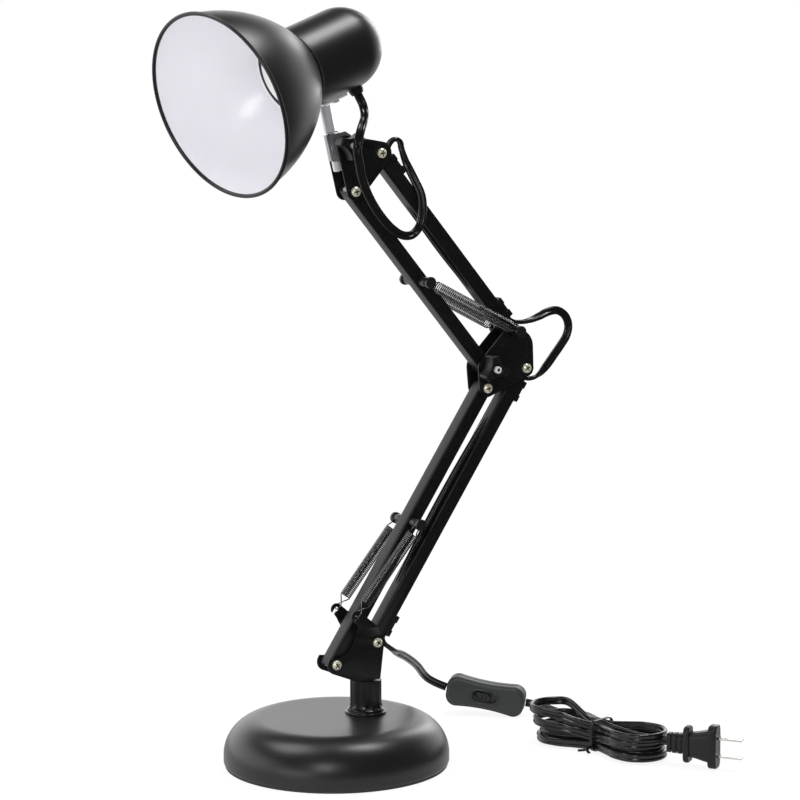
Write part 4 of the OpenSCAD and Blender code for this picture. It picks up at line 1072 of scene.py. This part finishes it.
shell_profile = [(LAMP_BORE_R + SHELL_WALL, SHADE_DEPTH - 5), *[(r + 0.3, z) for r, z in thread],
                 (LAMP_BORE_R + 0.5, SHADE_DEPTH + 26.8), (0.05, SHADE_DEPTH + 26.8),
                 (0.05, SHADE_DEPTH + 26.2), (LAMP_BORE_R, SHADE_DEPTH + 26.2),
                 *reversed(thread), (LAMP_BORE_R, SHADE_DEPTH - 5)]
standing_for(crisp(turned("screw_shell_thread", shell_profile, on_head, 72), 40), "screw_shell", "head",
             brass)
print("cup and lampholder made")

# %% The base cover
BASE_R, BASE_H, COVER_WALL, PAD_T, SHOULDER = 80.0, 34.0, 1.6, 2.0, 26.0
COLLAR_TAIL_R = 9.0
on_base = Matrix.Identity(4)
at_swivel = Matrix.Translation((swivel_axis.x, swivel_axis.y, 0))


def shoulder_arc(radius, start, end, steps):
    return [(BASE_R - SHOULDER + radius * math.cos(a), BASE_H - SHOULDER + radius * math.sin(a))
            for a in np.linspace(start, end, steps)]


cover_profile = rounded([(BASE_R - COVER_WALL, PAD_T), (BASE_R - 0.5, PAD_T, 0.3),
                         (BASE_R, PAD_T + 1.4, 0.6), (BASE_R, BASE_H - SHOULDER)], 4)
cover_profile += (shoulder_arc(SHOULDER, 0, math.pi / 2, 40)[1:]
                  + [(r, BASE_H) for r in (48, 40, 30, 20, 10, 0.05)])
cover_profile += [(0.05, BASE_H - COVER_WALL)] + shoulder_arc(SHOULDER - COVER_WALL, math.pi / 2, 0, 24)
cover = turned("base_cover", cover_profile, on_base, 192)
cut_out(cover, turned("tail_hole", [(0, BASE_H - 4), (COLLAR_TAIL_R + 0.05, BASE_H - 4),
                                    (COLLAR_TAIL_R + 0.05, BASE_H + 2), (0, BASE_H + 2)], at_swivel, 48))
standing_for(crisp(cover, 40), "base_shell", "base", smooth_black)
print("base cover faces:", len(cover.data.polygons))

# %% [markdown]
# The collar is moulded with ten flutes. The lathe makes its round, and the flutes are cut by a rule in the
# same step: where a point of the profile lies inside a flute's circle, it is drawn in to that circle.

# %% The fluted collar
COLLAR_R, COLLAR_H, FLARE, FLANGE_R, FLANGE_T, PIN_R = 11.25, 24.0, 2.0, 14.75, 1.4, 6.35
FLUTES, FLUTE_R, FLUTE_DEPTH = 10, 3.2, 0.7
flute_start = BASE_H + 2.5 * FLANGE_T
flute_centre = COLLAR_R + FLUTE_R - FLUTE_DEPTH


def hollow(angle, count, centre, hollow_r):
    """Radius left at an angle by evenly set circles of radius hollow_r, with their centres out at centre."""
    pitch = 2 * math.pi / count
    off = (angle + pitch / 2) % pitch - pitch / 2
    reach = hollow_r ** 2 - (centre * math.sin(off)) ** 2
    return centre * math.cos(off) - math.sqrt(reach) if reach > 0 else math.inf


def flute_cut(angle, radius, height):
    if radius < COLLAR_R - 2 or height < flute_start:
        return 0
    floor_r = hollow(angle, FLUTES, flute_centre, FLUTE_R)
    return max(0, radius - floor_r) * eased((height - flute_start) / 1.2)


fillet = 3 * FLARE
foot_arc = [(COLLAR_R + fillet - fillet * math.cos(a), BASE_H + FLANGE_T + fillet - fillet * math.sin(a))
            for a in np.linspace(math.radians(48), 0, 14)]
collar_profile = rounded([
    (PIN_R + 0.05, BASE_H - 9), (COLLAR_TAIL_R, BASE_H - 9, 0.4), (COLLAR_TAIL_R, BASE_H),
    (FLANGE_R, BASE_H, 0.3), (FLANGE_R, BASE_H + FLANGE_T, 0.5), (foot_arc[0][0], BASE_H + FLANGE_T, 0.4),
    *foot_arc, *[(COLLAR_R, z) for z in np.linspace(BASE_H + 8.5, BASE_H + COLLAR_H - 1.2, 10)],
    (COLLAR_R, BASE_H + COLLAR_H, 0.7), (PIN_R + 0.05, BASE_H + COLLAR_H, 0.4), (PIN_R + 0.05, BASE_H + 10)],
                         4)
collar = turned("fluted_collar", collar_profile, at_swivel, FLUTES * 28, flutes=flute_cut)
standing_for(crisp(collar, 36), "socket_bush", "base", gloss_black)
print("collar faces:", len(collar.data.polygons))

# %% [markdown]
# ## Folded, drawn and moulded parts
# The bars, the bracket and the plates are exact already, because they are cut and folded from sheet. So are
# the small pins and clips. These take a copy of their solid with rounded edges: about 0.25 mm on painted
# sheet, more on mouldings. The table below says which body each one rides on, and what it is finished in.

# %% Parts made from their solids
copies = [
    ("base_weight", "base", "cast_iron", iron, 1.0, 2), ("foot_pad", "base", "foam", foam_grey, 0.5, 2),
    ("socket_nut", "base", "steel", plain_steel, 0.3, 2),
    ("swivel_pin", "base_bracket", "steel", plain_steel, 0.2, 2),
    ("base_bracket", "base_bracket", "black_enamel", sandy_black, 0.25, 2),
    ("lower_front_bar", "lower_front_bar", "black_enamel", sandy_black, 0.25, 2),
    ("lower_rear_bar", "lower_rear_bar", "black_enamel", sandy_black, 0.25, 2),
    ("upper_front_bar", "upper_front_bar", "black_enamel", sandy_black, 0.25, 2),
    ("upper_rear_bar", "upper_rear_bar", "black_enamel", sandy_black, 0.25, 2),
    ("elbow_near_plate", "elbow_bracket", "black_enamel", sandy_black, 0.25, 2),
    ("elbow_far_plate", "elbow_bracket", "black_enamel", sandy_black, 0.25, 2),
    ("head_near_plate", "head_bracket", "black_enamel", sandy_black, 0.25, 2),
    ("head_far_plate", "head_bracket", "black_enamel", sandy_black, 0.25, 2),
    ("lower_spring_stud", "lower_front_bar", "black_enamel", smooth_black, 0.4, 3),
    ("upper_spring_stud", "upper_front_bar", "black_enamel", smooth_black, 0.4, 3),
    ("elbow_spring_pin", "elbow_bracket", "black_enamel", smooth_black, 0.4, 3),
    ("lower_front_bushes", "lower_front_bar", "nylon", natural_nylon, 0.15, 2),
    ("lower_rear_bushes", "lower_rear_bar", "nylon", natural_nylon, 0.15, 2),
    ("upper_front_bushes", "upper_front_bar", "nylon", natural_nylon, 0.15, 2),
    ("upper_rear_bushes", "upper_rear_bar", "nylon", natural_nylon, 0.15, 2),
    ("lower_cord_clips", "lower_rear_bar", "black_plastic", moulded_black, 0.35, 3),
    ("upper_cord_clips", "upper_rear_bar", "black_plastic", moulded_black, 0.35, 3),
    ("stem_clamp", "stem_clamp", "chrome", clamp_chrome, 0.5, 3),
    ("stem_strap", "head", "chrome", chrome, 0.35, 3), ("strap_screw", "head", "zinc", zinc, 0.5, 3),
]
for node, body, slot_name, material, edge, segments in copies:
    standing_for(softened(node, edge, segments), node, body, material)
print("parts from solids:", len(copies))

# %% [markdown]
# A few small forms are finer here than in the solids. The two knobs have three hollow flanks, cut by the same rule
# as the flutes. The bolt in each ends in a bright tip, on which a thin dark disc is painted shade standing in for
# a hole. The stem is stouter above its clamp than inside it. The cord enters the cup through a low moulded dome.

# %% Knobs and bolts
KNOB_R, KNOB_H, KNOB_WAIST, KNOB_HOLE_R = 10.0, 11.0, 5.4, 2.6
FLANKS, FLANK_R = 3, 13.0
PAINTED_HOLE_R = 1.15
knob_profile = rounded([(KNOB_HOLE_R, 0), (KNOB_R - 1, 0, 0.4), (KNOB_R, 1.2, 0.6), (KNOB_R, KNOB_H, 1.4),
                        (5.0, KNOB_H, 0.3), (4.2, KNOB_H - 1.0, 0.3), (KNOB_HOLE_R, KNOB_H - 1.0)])


def flank_cut(angle, radius, height):
    floor_r = hollow(angle, FLANKS, KNOB_WAIST + FLANK_R, FLANK_R)
    return radius * max(0, 1 - floor_r / KNOB_R) * eased((radius - KNOB_HOLE_R) / 2.0)


for knob, bolt, body, at, turn in (("elbow_knob", "elbow_clamp_bolt", "elbow_bracket", knee_front, 99),
                                   ("head_knob", "head_clamp_bolt", "head_bracket", clamp_point, 40)):
    inner_y, tip_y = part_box(knob)[1][1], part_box(bolt)[0][1]
    facing_out = Matrix.Translation((at.x, inner_y, at.z)) @ Matrix.Rotation(math.radians(90), 4, "X")
    made = turned(knob + "_moulding", knob_profile,
                  facing_out @ Matrix.Rotation(math.radians(60 + turn), 4, "Z"), 192, flutes=flank_cut)
    standing_for(crisp(made, 36), knob, knob, moulded_black)
    # A thin dark disc on the bolt's tip: painted shade, where a hole would be dark.
    hole = turned("bolt_hole", [(0, -0.2), (PAINTED_HOLE_R, -0.2), (PAINTED_HOLE_R, 0.06), (0, 0.06)],
                  Matrix.Translation((at.x, tip_y, at.z)) @ Matrix.Rotation(math.radians(90), 4, "X"), 24)
    rod = softened(bolt, 0.5, 3)
    hole.data.materials.append(painted_shade)
    rod.data.materials.append(chrome)
    standing_for(joined(bolt + "_rod", [rod, crisp(hole, 30)]), bolt, body)

# %% Stem and gland
STEM_LOW, STEM_STEP, STEM_TOP = -17.0, 10.4, 29.3
STEM_R, STEM_STOUT_R = 3.15, 3.9
GLAND_R, GLAND_H, GLAND_TURN = 5.2, 4.6, math.radians(-12)
along_stem = Matrix((Vector((stem_up.z, 0, -stem_up.x)), Vector((0, 1, 0)), stem_up)).transposed().to_4x4()
on_stem = Matrix.Translation(stem_foot) @ along_stem
stem = turned("stem_rod", rounded([
    (0, STEM_LOW), (STEM_R, STEM_LOW, 1.4), (STEM_R, STEM_STEP, 0.3), (STEM_STOUT_R, STEM_STEP + 0.4, 0.3),
    (STEM_STOUT_R, STEM_TOP, 0.3), (0, STEM_TOP)]), on_stem, 48)
standing_for(crisp(stem, 36), "head_stem", "head", chrome)
on_gland = (on_head @ Matrix.Rotation(GLAND_TURN, 4, "Z")
            @ Matrix.Translation(Vector((-CUP_R, 0, CUP_END - 2)) * MM)
            @ Matrix.Rotation(math.radians(180), 4, "Y"))
gland = turned("gland_dome",
               rounded([(0, -0.5), (GLAND_R, -0.5), (GLAND_R, 1.3, 0.8), (4.3, 4.2, 1.5), (0, GLAND_H)]),
               on_gland @ Matrix.Rotation(math.radians(90), 4, "Y"), 48)
standing_for(crisp(gland, 40), "cord_gland", "head", moulded_black)
print("knobs, bolts, stem and gland made")

# %% [markdown]
# ## Cord inside the rear bars
# Between its loops the cord runs in the open channel of the rear bars. At each end a clip holds it near the
# opening, and in between it lies deeper. The stretch is swept along the bar's own line, with the same
# section as the loops, so that the two meet without a step.

# %% Cord in the bars
BAR_H, BAR_WALL, CLIP_PROUD = 10.0, 1.2, 3.0
lower_len = (elbow_rear - base_rear).length / MM
upper_len = (head_rear - knee_rear).length / MM
cord_deep = BAR_H / 2 - BAR_WALL - CORD_T / 2 - 0.2
cord_shallow = -BAR_H / 2 - CLIP_PROUD + 1 + CORD_T / 2 + 0.15


def in_bar(start, end, points):
    """Points (along, across) in a bar's own frame, in mm, as places in the row frame."""
    u = (end - start).normalized()
    return [list(start / MM + x * u + z * Vector((-u.z, 0, u.x))) for x, z in points]


def held_in_channel(length):
    """The cord's line between the clips, shallow in them and deep between them."""
    return [(7.5, cord_shallow), (20, cord_shallow + 0.3), (34, cord_deep), (length - 34, cord_deep),
            (length - 20, cord_shallow + 0.3), (length - 8, cord_shallow)]


for arm, start, end, before, after in (
        ("lower", base_rear, elbow_rear, [(2.4, -12.6), (3.2, -9.3), (4.8, -6.8)],
         [(lower_len - 5.6, -6.6), (lower_len - 4.0, -10)]),
        ("upper", knee_rear, head_rear, [(-5, -13.4), (-1, -9), (2.8, -6.5)],
         [(upper_len - 5, -7.4), (upper_len - 2.6, -11), (upper_len - 2, -15.2), (upper_len - 3.4, -18.4),
          (upper_len - 7, -19.6), (upper_len - 10.6, -17.7)])):
    length = (end - start).length / MM
    path = smooth_path(in_bar(start, end, before + held_in_channel(length) + after))
    if arm == "upper":
        path.append(path[-1] + 1.2 * tangents_of(head_path)[0])
    held = swept(f"{arm}_cord_in_bar", path, twin_section, CROSSWISE)
    standing_for(held, f"{arm}_arm_cord", f"{arm}_rear_bar", cord_black)
    print(held.name, "length, mm:", round(length_of(path), 1))

# %% [markdown]
# ## Switch, tie and plug
# These are mouldings, so every edge is round. The switch has a shallow oval rim round its slider. The tie
# is a flat paper and wire strip, pulled round the hank's waist with its ends twisted together.

# %% Switch
SWITCH_AT, SWITCH_HEADING, SWITCH_TILT, SWITCH_T = Vector((164.5, 63.7, 0)), -40, 9, 16.0
SWITCH_LEN, SWITCH_H, SWITCH_CORNER = 60.0, 23.0, 8.0
tilt = math.radians(SWITCH_TILT)
switch_rise = ((SWITCH_LEN / 2 - SWITCH_CORNER) * math.sin(tilt)
               + (SWITCH_H / 2 - SWITCH_CORNER) * math.cos(tilt) + SWITCH_CORNER)
on_switch = (Matrix.Translation(SWITCH_AT) @ Matrix.Rotation(math.radians(SWITCH_HEADING), 4, "Z")
             @ Matrix.Translation((0, 0, switch_rise)) @ Matrix.Rotation(tilt, 4, "Y"))


def oval(length, high, y, steps=14):
    """A closed slot outline in the switch's own frame, in mm."""
    r, half = high / 2, (length - high) / 2
    points = [(half + r * math.cos(a), y, r * math.sin(a))
              for a in np.linspace(math.pi / 2, -math.pi / 2, steps)]
    points += [(-half + r * math.cos(a), y, r * math.sin(a))
               for a in np.linspace(-math.pi / 2, -3 * math.pi / 2, steps)]
    return [on_switch @ Vector(p) for p in points + points[:1]]


outward = on_switch.to_3x3() @ Vector((0, -1, 0))
rim = swept("slider_rim", oval(21.2, 9.6, -SWITCH_T / 2 + 0.05), round_section(0.75, 10), outward)
switch_front = joined("switch_front_case", [softened("switch_front", 0.8, 3), rim])
standing_for(switch_front, "switch_front", "base", case_grey)
switch_back = standing_for(softened("switch_back", 0.8, 3), "switch_back", "base",
                           case_grey)
standing_for(softened("switch_slider", 0.35, 3), "switch_slider", "switch_slider",
             gloss_black)
print("switch centre height, mm:", round(switch_rise, 2))
cord_stretch("lead_to_switch", *to_switch, ("base_bracket", "base"), to_switch[0][0], to_switch[0][-1],
             far_end="fitting", with_pieces=[switch_front, switch_back])

# %% Tie
TIE_W, TIE_T, TIE_Y, TIE_LOW, TIE_TOP, TIE_CORNER = 2.6, 0.7, 12.2, 0.5, 22.3, 5.0


def tie_loop():
    points = []
    for cy, cz, start in ((TIE_Y - TIE_CORNER, TIE_TOP - TIE_CORNER, 90),
                          (TIE_Y - TIE_CORNER, TIE_LOW + TIE_CORNER, 0),
                          (-TIE_Y + TIE_CORNER, TIE_LOW + TIE_CORNER, -90),
                          (-TIE_Y + TIE_CORNER, TIE_TOP - TIE_CORNER, -180)):
        points += [(0, cy + TIE_CORNER * math.cos(math.radians(start - s)),
                    cz + TIE_CORNER * math.sin(math.radians(start - s))) for s in range(0, 91, 15)]
    return smooth_path([list(on_hank @ Vector(p)) for p in points + points[:1]], spacing=0.8)


flat_strip = [(-TIE_W / 2, -TIE_T / 2), (TIE_W / 2, -TIE_T / 2), (TIE_W / 2, TIE_T / 2),
              (-TIE_W / 2, TIE_T / 2)]
lengthwise = on_hank.to_3x3() @ Vector((1, 0, 0))
tie_pieces = [swept("tie_loop", tie_loop(), flat_strip, lengthwise)]
twist_foot = Vector((0, -TIE_Y - 0.2, 4.2))
tail_paths = [[twist_foot + Vector(p) for p in ((0, 0.6, 0), (0, -2.4, -0.4), (s * 1.2, -5.4, -1.2),
                                                (s * 5.2, -8.4, -1.8))] for s in (-1, 1)]
for number, tail in enumerate(tail_paths):
    path = smooth_path([list(on_hank @ p) for p in tail], spacing=0.5)
    turns_at = [math.radians(260) * eased(1.7 * k / (len(path) - 1)) for k in range(len(path))]
    tie_pieces.append(swept(f"tie_tail_{number}", path, [(x * 0.8, y) for x, y in flat_strip],
                            twisted(path, (0, 0, 1), turns_at)))
tie = joined("twist_tie", tie_pieces)
standing_for(crisp(tie, 40), "hank_tie", "base", tie_black)

# %% Plug and blades
PLUG_AT, PLUG_HEADING = Vector((204.4, -127.2, 16)), math.radians(-53)
on_plug = Matrix.Translation(PLUG_AT * MM) @ Matrix.Rotation(PLUG_HEADING, 4, "Z")
# Stations of the plug: place along it, half width and half height
stations = [(-6.3, 3.2, 5.2), (-6.3, 4.6, 6.9), (-3.7, 4.6, 6.9), (-3.7, 3.4, 5.6), (-2.3, 3.4, 5.6),
            (-2.3, 4.8, 7.1), (0.3, 4.8, 7.1), (0.3, 3.6, 5.8), (1.7, 3.6, 5.8), (1.7, 5, 7.2),
            (4.3, 5, 7.2), (4.3, 4.2, 6.2), (6, 4.2, 6.2), (6, 6.2, 12.4), (6.8, 6.5, 13), (9.2, 6.5, 13),
            (10, 6.2, 12.4), (10, 5.4, 8.6), (16, 6.2, 9.6), (20, 6.5, 10.6), (24, 6.5, 11.4),
            (24, 6.5, 14.8), (25, 6.5, 15.5), (29.2, 6.5, 15.5), (30, 6, 15)]
PLUG_SIDES, SQUARENESS = 40, 0.45


def outline(x, half_y, half_z):
    """A rounded oblong round the plug's line, as a superellipse."""
    def power(v):
        return math.copysign(abs(v) ** SQUARENESS, v)
    return [(x * MM, half_y * power(math.cos(a)) * MM, half_z * power(math.sin(a)) * MM)
            for a in np.linspace(0, 2 * math.pi, PLUG_SIDES, endpoint=False)]


rows = len(stations)
plug_points = [p for station in stations for p in outline(*station)]
plug_faces = [(i * PLUG_SIDES + k, i * PLUG_SIDES + (k + 1) % PLUG_SIDES,
               (i + 1) * PLUG_SIDES + (k + 1) % PLUG_SIDES, (i + 1) * PLUG_SIDES + k)
              for i in range(rows - 1) for k in range(PLUG_SIDES)]
plug_faces += [tuple(range(PLUG_SIDES)), tuple(range((rows - 1) * PLUG_SIDES, rows * PLUG_SIDES))]
plug = crisp(placed(new_piece("plug_moulding", plug_points, plug_faces), on_plug), 34)
standing_for(plug, "plug_body", "base", moulded_black)
blades = standing_for(softened("plug_blades", 0.2, 2), "plug_blades", "base", nickel)

# %% [markdown]
# ## Studio
# The lamp stands on a plain pale floor in soft light. The floor's finish mixes its own light with plain
# white paint, so that it stays white to the camera and still takes the lamp's shadow. The world is white
# where the camera sees it, and dimmer where it lights the lamp. In reflections the studio is bright at the
# back and dark on the near side, as with a lit wall behind the lamp: black paint then stays black from the
# front, and its edges shine.

# %% Floor and world
FLOOR_REACH, FLOOR_GLOW, FLOOR_REFLECTED, FLOOR_WHITE, GLOW_STRENGTH = 12, 0.86, 0.85, 0.9, 1.02
corners = [(x * FLOOR_REACH, y * FLOOR_REACH, 0) for x, y in ((-1, -1), (1, -1), (1, 1), (-1, 1))]
floor = new_piece("floor", corners, [(0, 1, 2, 3)], smooth=False)
floor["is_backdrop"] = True
paint = bpy.data.materials.new("studio_floor")
paint.use_nodes = True
tree = paint.node_tree
tree.nodes.remove(tree.nodes["Principled BSDF"])
white, glow, mixed = (tree.nodes.new("ShaderNode" + kind)
                      for kind in ("BsdfDiffuse", "Emission", "MixShader"))
glow.inputs["Color"].default_value = (1, 1, 1, 1)
glow.inputs["Strength"].default_value = GLOW_STRENGTH
rays = tree.nodes.new("ShaderNodeLightPath")
lit = maths(tree, "SUBTRACT", FLOOR_WHITE,
            maths(tree, "MULTIPLY", rays.outputs["Is Glossy Ray"], FLOOR_WHITE))
tree.links.new(lit, white.inputs["Color"])
place = tree.nodes.new("ShaderNodeTexCoord").outputs["Object"]
away = tree.nodes.new("ShaderNodeVectorMath")
away.operation = "LENGTH"
tree.links.new(place, away.inputs[0])
depthwise = tree.nodes.new("ShaderNodeSeparateXYZ")
tree.links.new(place, depthwise.inputs[0])


def faded(value, *limits):
    node = tree.nodes.new("ShaderNodeMapRange")
    node.interpolation_type = "SMOOTHSTEP"
    for label, limit in zip(("From Min", "From Max", "To Min", "To Max"), limits):
        node.inputs[label].default_value = limit
    tree.links.new(value, node.inputs["Value"])
    return node.outputs["Result"]


# In a reflection the floor is bright close to what stands on it and at the back, and dark elsewhere
FLOOR_DARK = 0.04
by_the_foot = faded(rays.outputs["Ray Length"], 0.12, 0.3, FLOOR_REFLECTED, FLOOR_DARK)
at_the_back = faded(depthwise.outputs["Y"], -0.1, 0.5, 0.0, 1.0)
reflected = maths(tree, "MULTIPLY", rays.outputs["Is Glossy Ray"],
                  maths(tree, "MAXIMUM", by_the_foot, at_the_back))
seen = maths(tree, "ADD", rays.outputs["Is Camera Ray"], reflected, clamp=True)
glowing = faded(away.outputs["Value"], 0.3, 1.1, FLOOR_GLOW, 1.0)
tree.links.new(maths(tree, "MULTIPLY", seen, glowing), mixed.inputs[0])
tree.links.new(white.outputs[0], mixed.inputs[1])
tree.links.new(glow.outputs[0], mixed.inputs[2])
tree.links.new(mixed.outputs[0], tree.nodes["Material Output"].inputs["Surface"])
floor.data.materials.append(paint)

WORLD_LIGHT = 0.7
# How bright a reflection finds the studio's back wall at each height; the near side of the studio is dark
wall_heights = [(0.0, 1.0), (0.36, 1.0), (0.6, 0.03), (1.0, 0.03)]
WALL_GAIN, NEAR_SIDE = 1.7, 0.03
world = bpy.data.worlds.new("studio")
scene.world = world
world.use_nodes = True
tree = world.node_tree
rays = tree.nodes.new("ShaderNodeLightPath")
heading = tree.nodes.new("ShaderNodeSeparateXYZ")
tree.links.new(tree.nodes.new("ShaderNodeTexCoord").outputs["Generated"], heading.inputs[0])
walls = tree.nodes.new("ShaderNodeValToRGB")
walls.color_ramp.interpolation = "EASE"
while len(walls.color_ramp.elements) < len(wall_heights):
    walls.color_ramp.elements.new(0.5)
for element, (height_at, value) in zip(walls.color_ramp.elements, wall_heights):
    element.position = height_at
    element.color = (value, value, value, 1)
tree.links.new(heading.outputs["Z"], walls.inputs["Fac"])
behind = tree.nodes.new("ShaderNodeMapRange")
behind.interpolation_type = "SMOOTHSTEP"
for label, value in (("From Min", -0.25), ("From Max", 0.35), ("To Min", NEAR_SIDE), ("To Max", WALL_GAIN)):
    behind.inputs[label].default_value = value
tree.links.new(heading.outputs["Y"], behind.inputs["Value"])
wall_seen = maths(tree, "MULTIPLY", walls.outputs["Color"], behind.outputs["Result"])
reflected = maths(tree, "MULTIPLY", wall_seen, rays.outputs["Is Glossy Ray"])
direct = maths(tree, "ADD", rays.outputs["Is Camera Ray"], rays.outputs["Is Transmission Ray"], clamp=True)
unseen = maths(tree, "SUBTRACT", 1.0, maths(tree, "ADD", direct, rays.outputs["Is Glossy Ray"], clamp=True))
scattered = maths(tree, "MULTIPLY", unseen, WORLD_LIGHT)
sky = tree.nodes["Background"]
sky.inputs["Color"].default_value = (1, 1, 1, 1)
tree.links.new(maths(tree, "ADD", maths(tree, "ADD", reflected, direct), scattered), sky.inputs["Strength"])
print("floor and world set")


# %% Soft lamps
def soft_lamp(name, place, target, power, size):
    data = bpy.data.lights.new(name, "AREA")
    data.shape = "RECTANGLE"
    data.size, data.size_y = size
    data.energy = power
    lamp = bpy.data.objects.new(name, data)
    scene.collection.objects.link(lamp)
    lamp.location = place
    lamp.rotation_euler = (Vector(target) - Vector(place)).to_track_quat("-Z", "Y").to_euler()
    lamp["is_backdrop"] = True
    return lamp


# Name, place, target, power in watts, width and height
lamps = [("overhead", (-0.6, 0.45, 1.5), (0.0, 0, 0.3), 9.0, (0.8, 0.7)),
         ("overhead_right", (0.42, -0.1, 1.5), (0.0, 0, 0.4), 8.0, (0.4, 0.4)),
         ("left_front", (-1.3, -1.5, 1.1), (0, 0, 0.3), 8.5, (0.5, 0.8)),
         ("right_back", (1.3, 0.9, 0.9), (0.05, 0, 0.3), 5.0, (0.4, 0.9)),
         ("left_low", (-1.3, -0.5, 0.15), (0.05, 0, 0.3), 3.0, (0.9, 0.45))]
for lamp in lamps:
    soft_lamp(*lamp)
print("lamps:", len(lamps))
scene.view_settings.view_transform = "Standard"

# %% [markdown]
# ## The size of the dressed lamp
# The dressed lamp has to stay the size of the frame. Its box is printed.

# %% Boxes and the end
low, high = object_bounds()
print("visual box, mm:", [round(x / MM, 1) for x in (*low, *high)])
